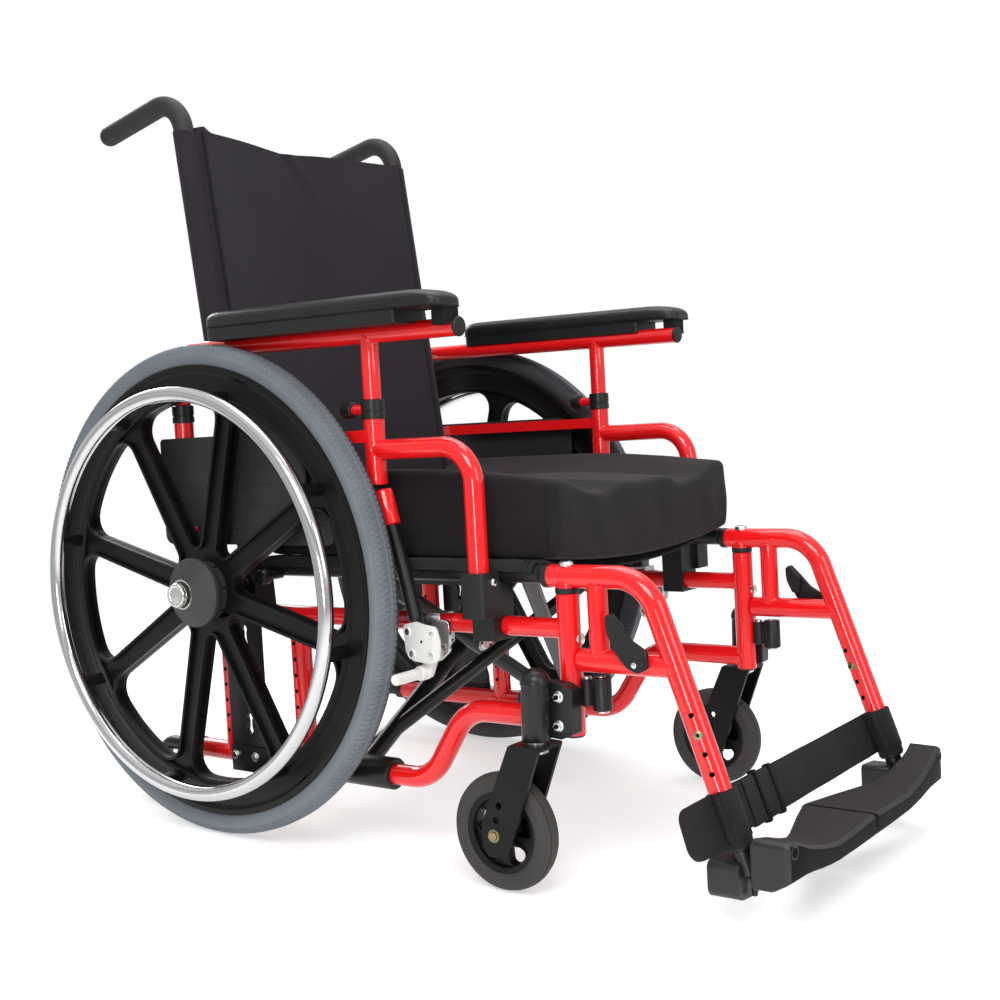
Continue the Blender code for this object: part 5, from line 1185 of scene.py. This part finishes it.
def cushion_point(p):
    """From the box to the crowned, hollowed form, with its bulging sides and slack creases."""
    x, y, t = p.x, p.y, (p.z + BOX_HALF) / (2 * BOX_HALF)
    y_abs = (CUSHION_FRONT + CUSHION_REAR) / 2 + y
    base = SEAT_Z + SLING_R + 0.0034 - sling_sag(x * 0.985)
    z = base + (cushion_top(x, y_abs) - base) * t
    near_front = max(0.0, 1 - (y_abs - CUSHION_FRONT) / 0.09)
    belly = math.sin(math.pi * min(1, max(0, t)))
    x += math.copysign(0.0018 * belly, x) * max(0.0, abs(x) / CUSHION_HALF - 0.9) * 10
    y_abs -= 0.0024 * belly * (1 if y < 0 else -1) * max(0.0, abs(y) / CUSHION_HALF_LONG - 0.96) * 25
    slack = noise.noise(Vector((x * 9, y_abs * 7, z * 16)))
    fine = noise.noise(Vector((x * 30 + 5, y_abs * 22, z * 42)))
    z += (0.0016 * slack + 0.0005 * fine) * (t > 0.5)
    crease = math.sin((abs(x) - TROUGH_X) * 90 + 40 * (y_abs - CUSHION_FRONT) + 2 * slack)
    z += 0.0011 * crease * near_front * trough(x) * (t > 0.6)
    y_abs += 0.0010 * math.sin(x * 75 + 5 * slack) * belly * (1 if y < -0.2 else 0)
    return Vector((x, y_abs, z))


box = soft_box((CUSHION_HALF, CUSHION_HALF_LONG, BOX_HALF), 0.0085, 0.0052)
for v in box.verts:
    v.co = cushion_point(v.co)
cushion_mesh = bpy.data.meshes.new("seat_cushion_shown")
box.to_mesh(cushion_mesh)
box.free()
cushion_mesh.transform(ON_FRAME)
cushion_mesh.materials.append(SEAT)
cushion_mesh.shade_smooth()
cushion = show("seat_cushion_shown", cushion_mesh)
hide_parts("seat_cushion")

seams = Shapes(THREAD, SEAT)
seam_y = 0.0060 - (CUSHION_HALF_LONG - 0.0035)
for side in (-1, 1):
    seams.add(tube([cushion_point(Vector((side * (CUSHION_HALF - 0.0001), seam_y, (2 * t - 1) * BOX_HALF)))
                    for t in np.linspace(0.12, 0.90, 24)], 0.0010, 8))
seam_piece = make(seams, "cushion_seams_shown")

# Back upholstery: one cloth that wraps each cane, padded and slack between them
WRAP_R, SLEEVE_R, BACK_LOW, PLEAT_TOP = 0.0148, 0.0132, 0.052, 0.575
FACE_X = [float(x) for x in np.linspace(0.0, 0.191, 33)]
SEAM = len(FACE_X) - 1


def bump_at(value, centre, width):
    return math.exp(-((value - centre) / width) ** 2)


def back_cut(share):
    """The half cut as (x, distance behind the canes' axis): face, wrap, sleeve and rear."""
    sag = 0.020 + 0.010 * math.sin(math.pi * share)
    edge = max(0.0, (share - 0.90) / 0.10, (0.05 - share) / 0.05)
    thick = 0.0040 + 0.0185 * math.sqrt(max(0.0, 1 - min(1.0, edge) ** 2))
    face = [(x * (0.976 + 0.024 * share), -0.0250 + sag * (1 - (x / FRAME_X) ** 2)) for x in FACE_X]
    face += [(face[-1][0] + 0.0016, face[-1][1] + 0.0058)]
    outer = arc((FRAME_X, 0), WRAP_R, -122, 85, 24)
    sleeve = arc((FRAME_X, 0), SLEEVE_R, 80, -258, 30)
    rear = [(FRAME_X - 0.0035, WRAP_R - 0.0003)]
    for x, d in reversed(face[:-1]):
        behind = min(d + thick, 0.0130)
        rear.append((x, behind + (0.0126 - behind) * min(1.0, max(0.0, (x - 0.168) / 0.016))))
    return face + outer + sleeve + rear


def back_top(x):
    """The top edge: pointed at each seam, then slack between them."""
    a = abs(x) / FRAME_X
    if a > 0.945:
        return 0.5866 - 0.0036 * max(0.0, 1 - (a - 0.962) / 0.09)
    dip = 0.0010 + 0.0064 * bump_at(x / FRAME_X, -0.17, 0.30)
    return 0.5862 - dip + (0.0074 if x < 0 else 0.0028) * math.exp(-(max(0.0, 0.937 - a) / 0.045) ** 2)


def back_ring(share):
    half_cut = back_cut(share)
    cut = half_cut + [(-x, d) for x, d in reversed(half_cut[1:-1])]
    ring = []
    for x, d in cut:
        z = BACK_LOW + (back_top(x) - BACK_LOW) * share
        if abs(x) < 0.1915:
            calm = min(1.0, (0.1925 - abs(x)) / 0.03)
            fold = noise.noise(Vector((x * 5 + 3, z * 3.2, 1.7))) * 0.0050
            fold += noise.noise(Vector((x * 14 + 1, z * 7, 4.2))) * 0.0014
            fallen = PLEAT_TOP - z
            pleat = bump_at(x + 0.020, 0.9 * fallen, 0.0075) * max(0.0, 1 - fallen / 0.085)
            pleat -= 0.8 * bump_at(x + 0.038, 0.75 * fallen, 0.0065) * max(0.0, 1 - fallen / 0.07)
            d += fold * calm - 0.0022 * pleat
        ring.append((x, cane_y(z) + d, z))
    return ring


def back_shape(shares):
    """The rings joined up, each open end closed by strips from face to rear and round the wraps."""
    rings = [back_ring(s) for s in shares]
    n = len(rings[0])
    half_n = n // 2 + 1
    points, faces = loft(rings)
    faces = [f for f in faces if len(f) == 4]
    flat = back_cut(0.5)
    lip = list(range(SEAM, half_n - SEAM))
    wrap = tessellate_polygon([[Vector((*flat[i], 0)) for i in lip]])

    def mirror(i):
        return i if i in (0, half_n - 1) else n - i

    closing = [(i, i + 1, half_n - 2 - i, half_n - 1 - i) for i in range(SEAM)]
    closing += [tuple(lip[i] for i in tri) for tri in wrap]
    closing += [tuple(mirror(i) for i in reversed(face)) for face in closing]
    top = (len(rings) - 1) * n
    faces += [tuple(reversed(face)) for face in closing] + [tuple(i + top for i in face) for face in closing]
    return points, faces


back = Shapes(CLOTH, THREAD)
back.add(back_shape([0, 0.004, 0.012, 0.03, *[float(s) for s in np.linspace(0.05, 0.90, 44)],
                     0.912, 0.924, 0.936, 0.948, 0.96, 0.97, 0.98, 0.988, 0.994, 1]))
# Seams at each wrap's edge: thick dark tubes, part real stitching and part painted shade of the crease beside
# them
for side in (-1, 1):
    seam_line = [back_ring(float(s))[SEAM] for s in np.linspace(0.004, 0.998, 70)]
    back.add(tube([(side * (x + 0.0016), y + 0.0012, z) for x, y, z in seam_line], 0.0020, 10), THREAD)
back_piece = single(back, "back_upholstery", "frame_right", ["back_upholstery"], sharp=60)

# Heel strap
STRAP_R, STRAP_THICK, STRAP_WIDE, STRAP_Z = MAIN_R + 0.0003, 0.0025, 0.050, -0.194
LOOP_FIT = 0.985


def strap_cut():
    """The strap's cut as (x, distance behind the hangers' axis): its run and a wrap round each hanger."""
    near, far = STRAP_R, STRAP_R + STRAP_THICK
    span = [(float(x), 0.012 * (1 - (x / 0.20) ** 2)) for x in np.linspace(0.0, 0.19, 24)]
    half_cut = [(x, far + slack) for x, slack in span]
    half_cut += arc((FRAME_X, 0), far / LOOP_FIT, 90, -230, 36)
    half_cut += arc((FRAME_X, 0), near / LOOP_FIT, -230, 90, 36)
    half_cut += [(x, near + slack) for x, slack in reversed(span)]
    return half_cut + [(-x, d) for x, d in reversed(half_cut[1:-1])]


def strap_point(x, d, along):
    """A point so far behind the hangers' axis and down along it, with the strap's sink in the middle."""
    down = along + 0.0035 * (1 - min(1.0, abs(x) / FRAME_X) ** 2)
    return Vector((x, hanger_y(STRAP_Z) + d * math.cos(LEAN) - down * math.sin(LEAN),
                   STRAP_Z - d * math.sin(LEAN) - down * math.cos(LEAN)))


def strap_ring(along):
    return [strap_point(x, d + 0.0008 * math.sin(x * 60) * (abs(x) < 0.18), along) for x, d in strap_cut()]


def strap_slack(x):
    return 0.012 * max(0.0, 1 - (x / 0.20) ** 2) + 0.0008 * math.sin(x * 60)


strap = Shapes(WEB, THREAD, PLASTIC)
strap.add(loft([strap_ring(STRAP_WIDE * s) for s in (0, 0.04, 0.2, 0.4, 0.6, 0.8, 0.96, 1)]))
# Sliders that gather the doubled webbing, and the loose tail past the near tube
for left, right, grow, low, high, surface in (
        (-0.130, -0.098, 0.0016, 0.001, 0.052, WEB), (-0.096, -0.090, 0.0036, -0.003, 0.055, THREAD),
        (-0.088, -0.060, 0.0018, 0.001, 0.052, WEB), (-0.059, -0.053, 0.0034, -0.002, 0.054, THREAD)):
    xs = np.linspace(left, right, 5)
    rows = []
    for share in (0.0, 0.04, 0.5, 0.96, 1.0):
        along = low + (high - low) * share
        g = grow if 0 < share < 1 else grow * 0.5
        front = [strap_point(x, STRAP_R - g + strap_slack(x), along) for x in xs]
        rear = [strap_point(x, STRAP_R + STRAP_THICK + g + strap_slack(x), along) for x in reversed(xs)]
        rows.append(front + rear)
    strap.add(loft(rows), surface)
TAIL_X = 0.205
tail = rounded([(-TAIL_X, -0.001, 0), (-0.2760, 0.001, 0.014), (-0.2800, 0.053, 0.016),
                (-TAIL_X, 0.0555, 0)], 8)
strap.add(loft([[strap_point(x, d + 0.10 * max(0.0, abs(x) - TAIL_X), a) for x, a in tail]
                for d in (0.0020, 0.0062)]))
loop_r = (STRAP_R + STRAP_THICK) / LOOP_FIT
for side in (-1, 1):
    first = strap_point(side * FRAME_X, 0, 0.0)
    for start, end, radius in ((0.0460, 0.0575, loop_r - 0.0004), (0.0010, 0.0490, loop_r + 0.0010)):
        strap.add(rod(first + leg_way * start, first + leg_way * end, radius, 40, edge=0.0006))
strap_piece = single(strap, "heel_strap", "leg_rest_right", ["heel_strap"], sharp=50)

# The soft pieces: the sling, cushion and seams get their placing baked into their meshes, and the back and
# strap meshes of their own
at = ON_FRAME @ Vector((0.150, -0.2, 0.05))
for piece in (sling_piece, cushion, seam_piece):
    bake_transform(piece)
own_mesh(back_piece)
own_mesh(strap_piece)
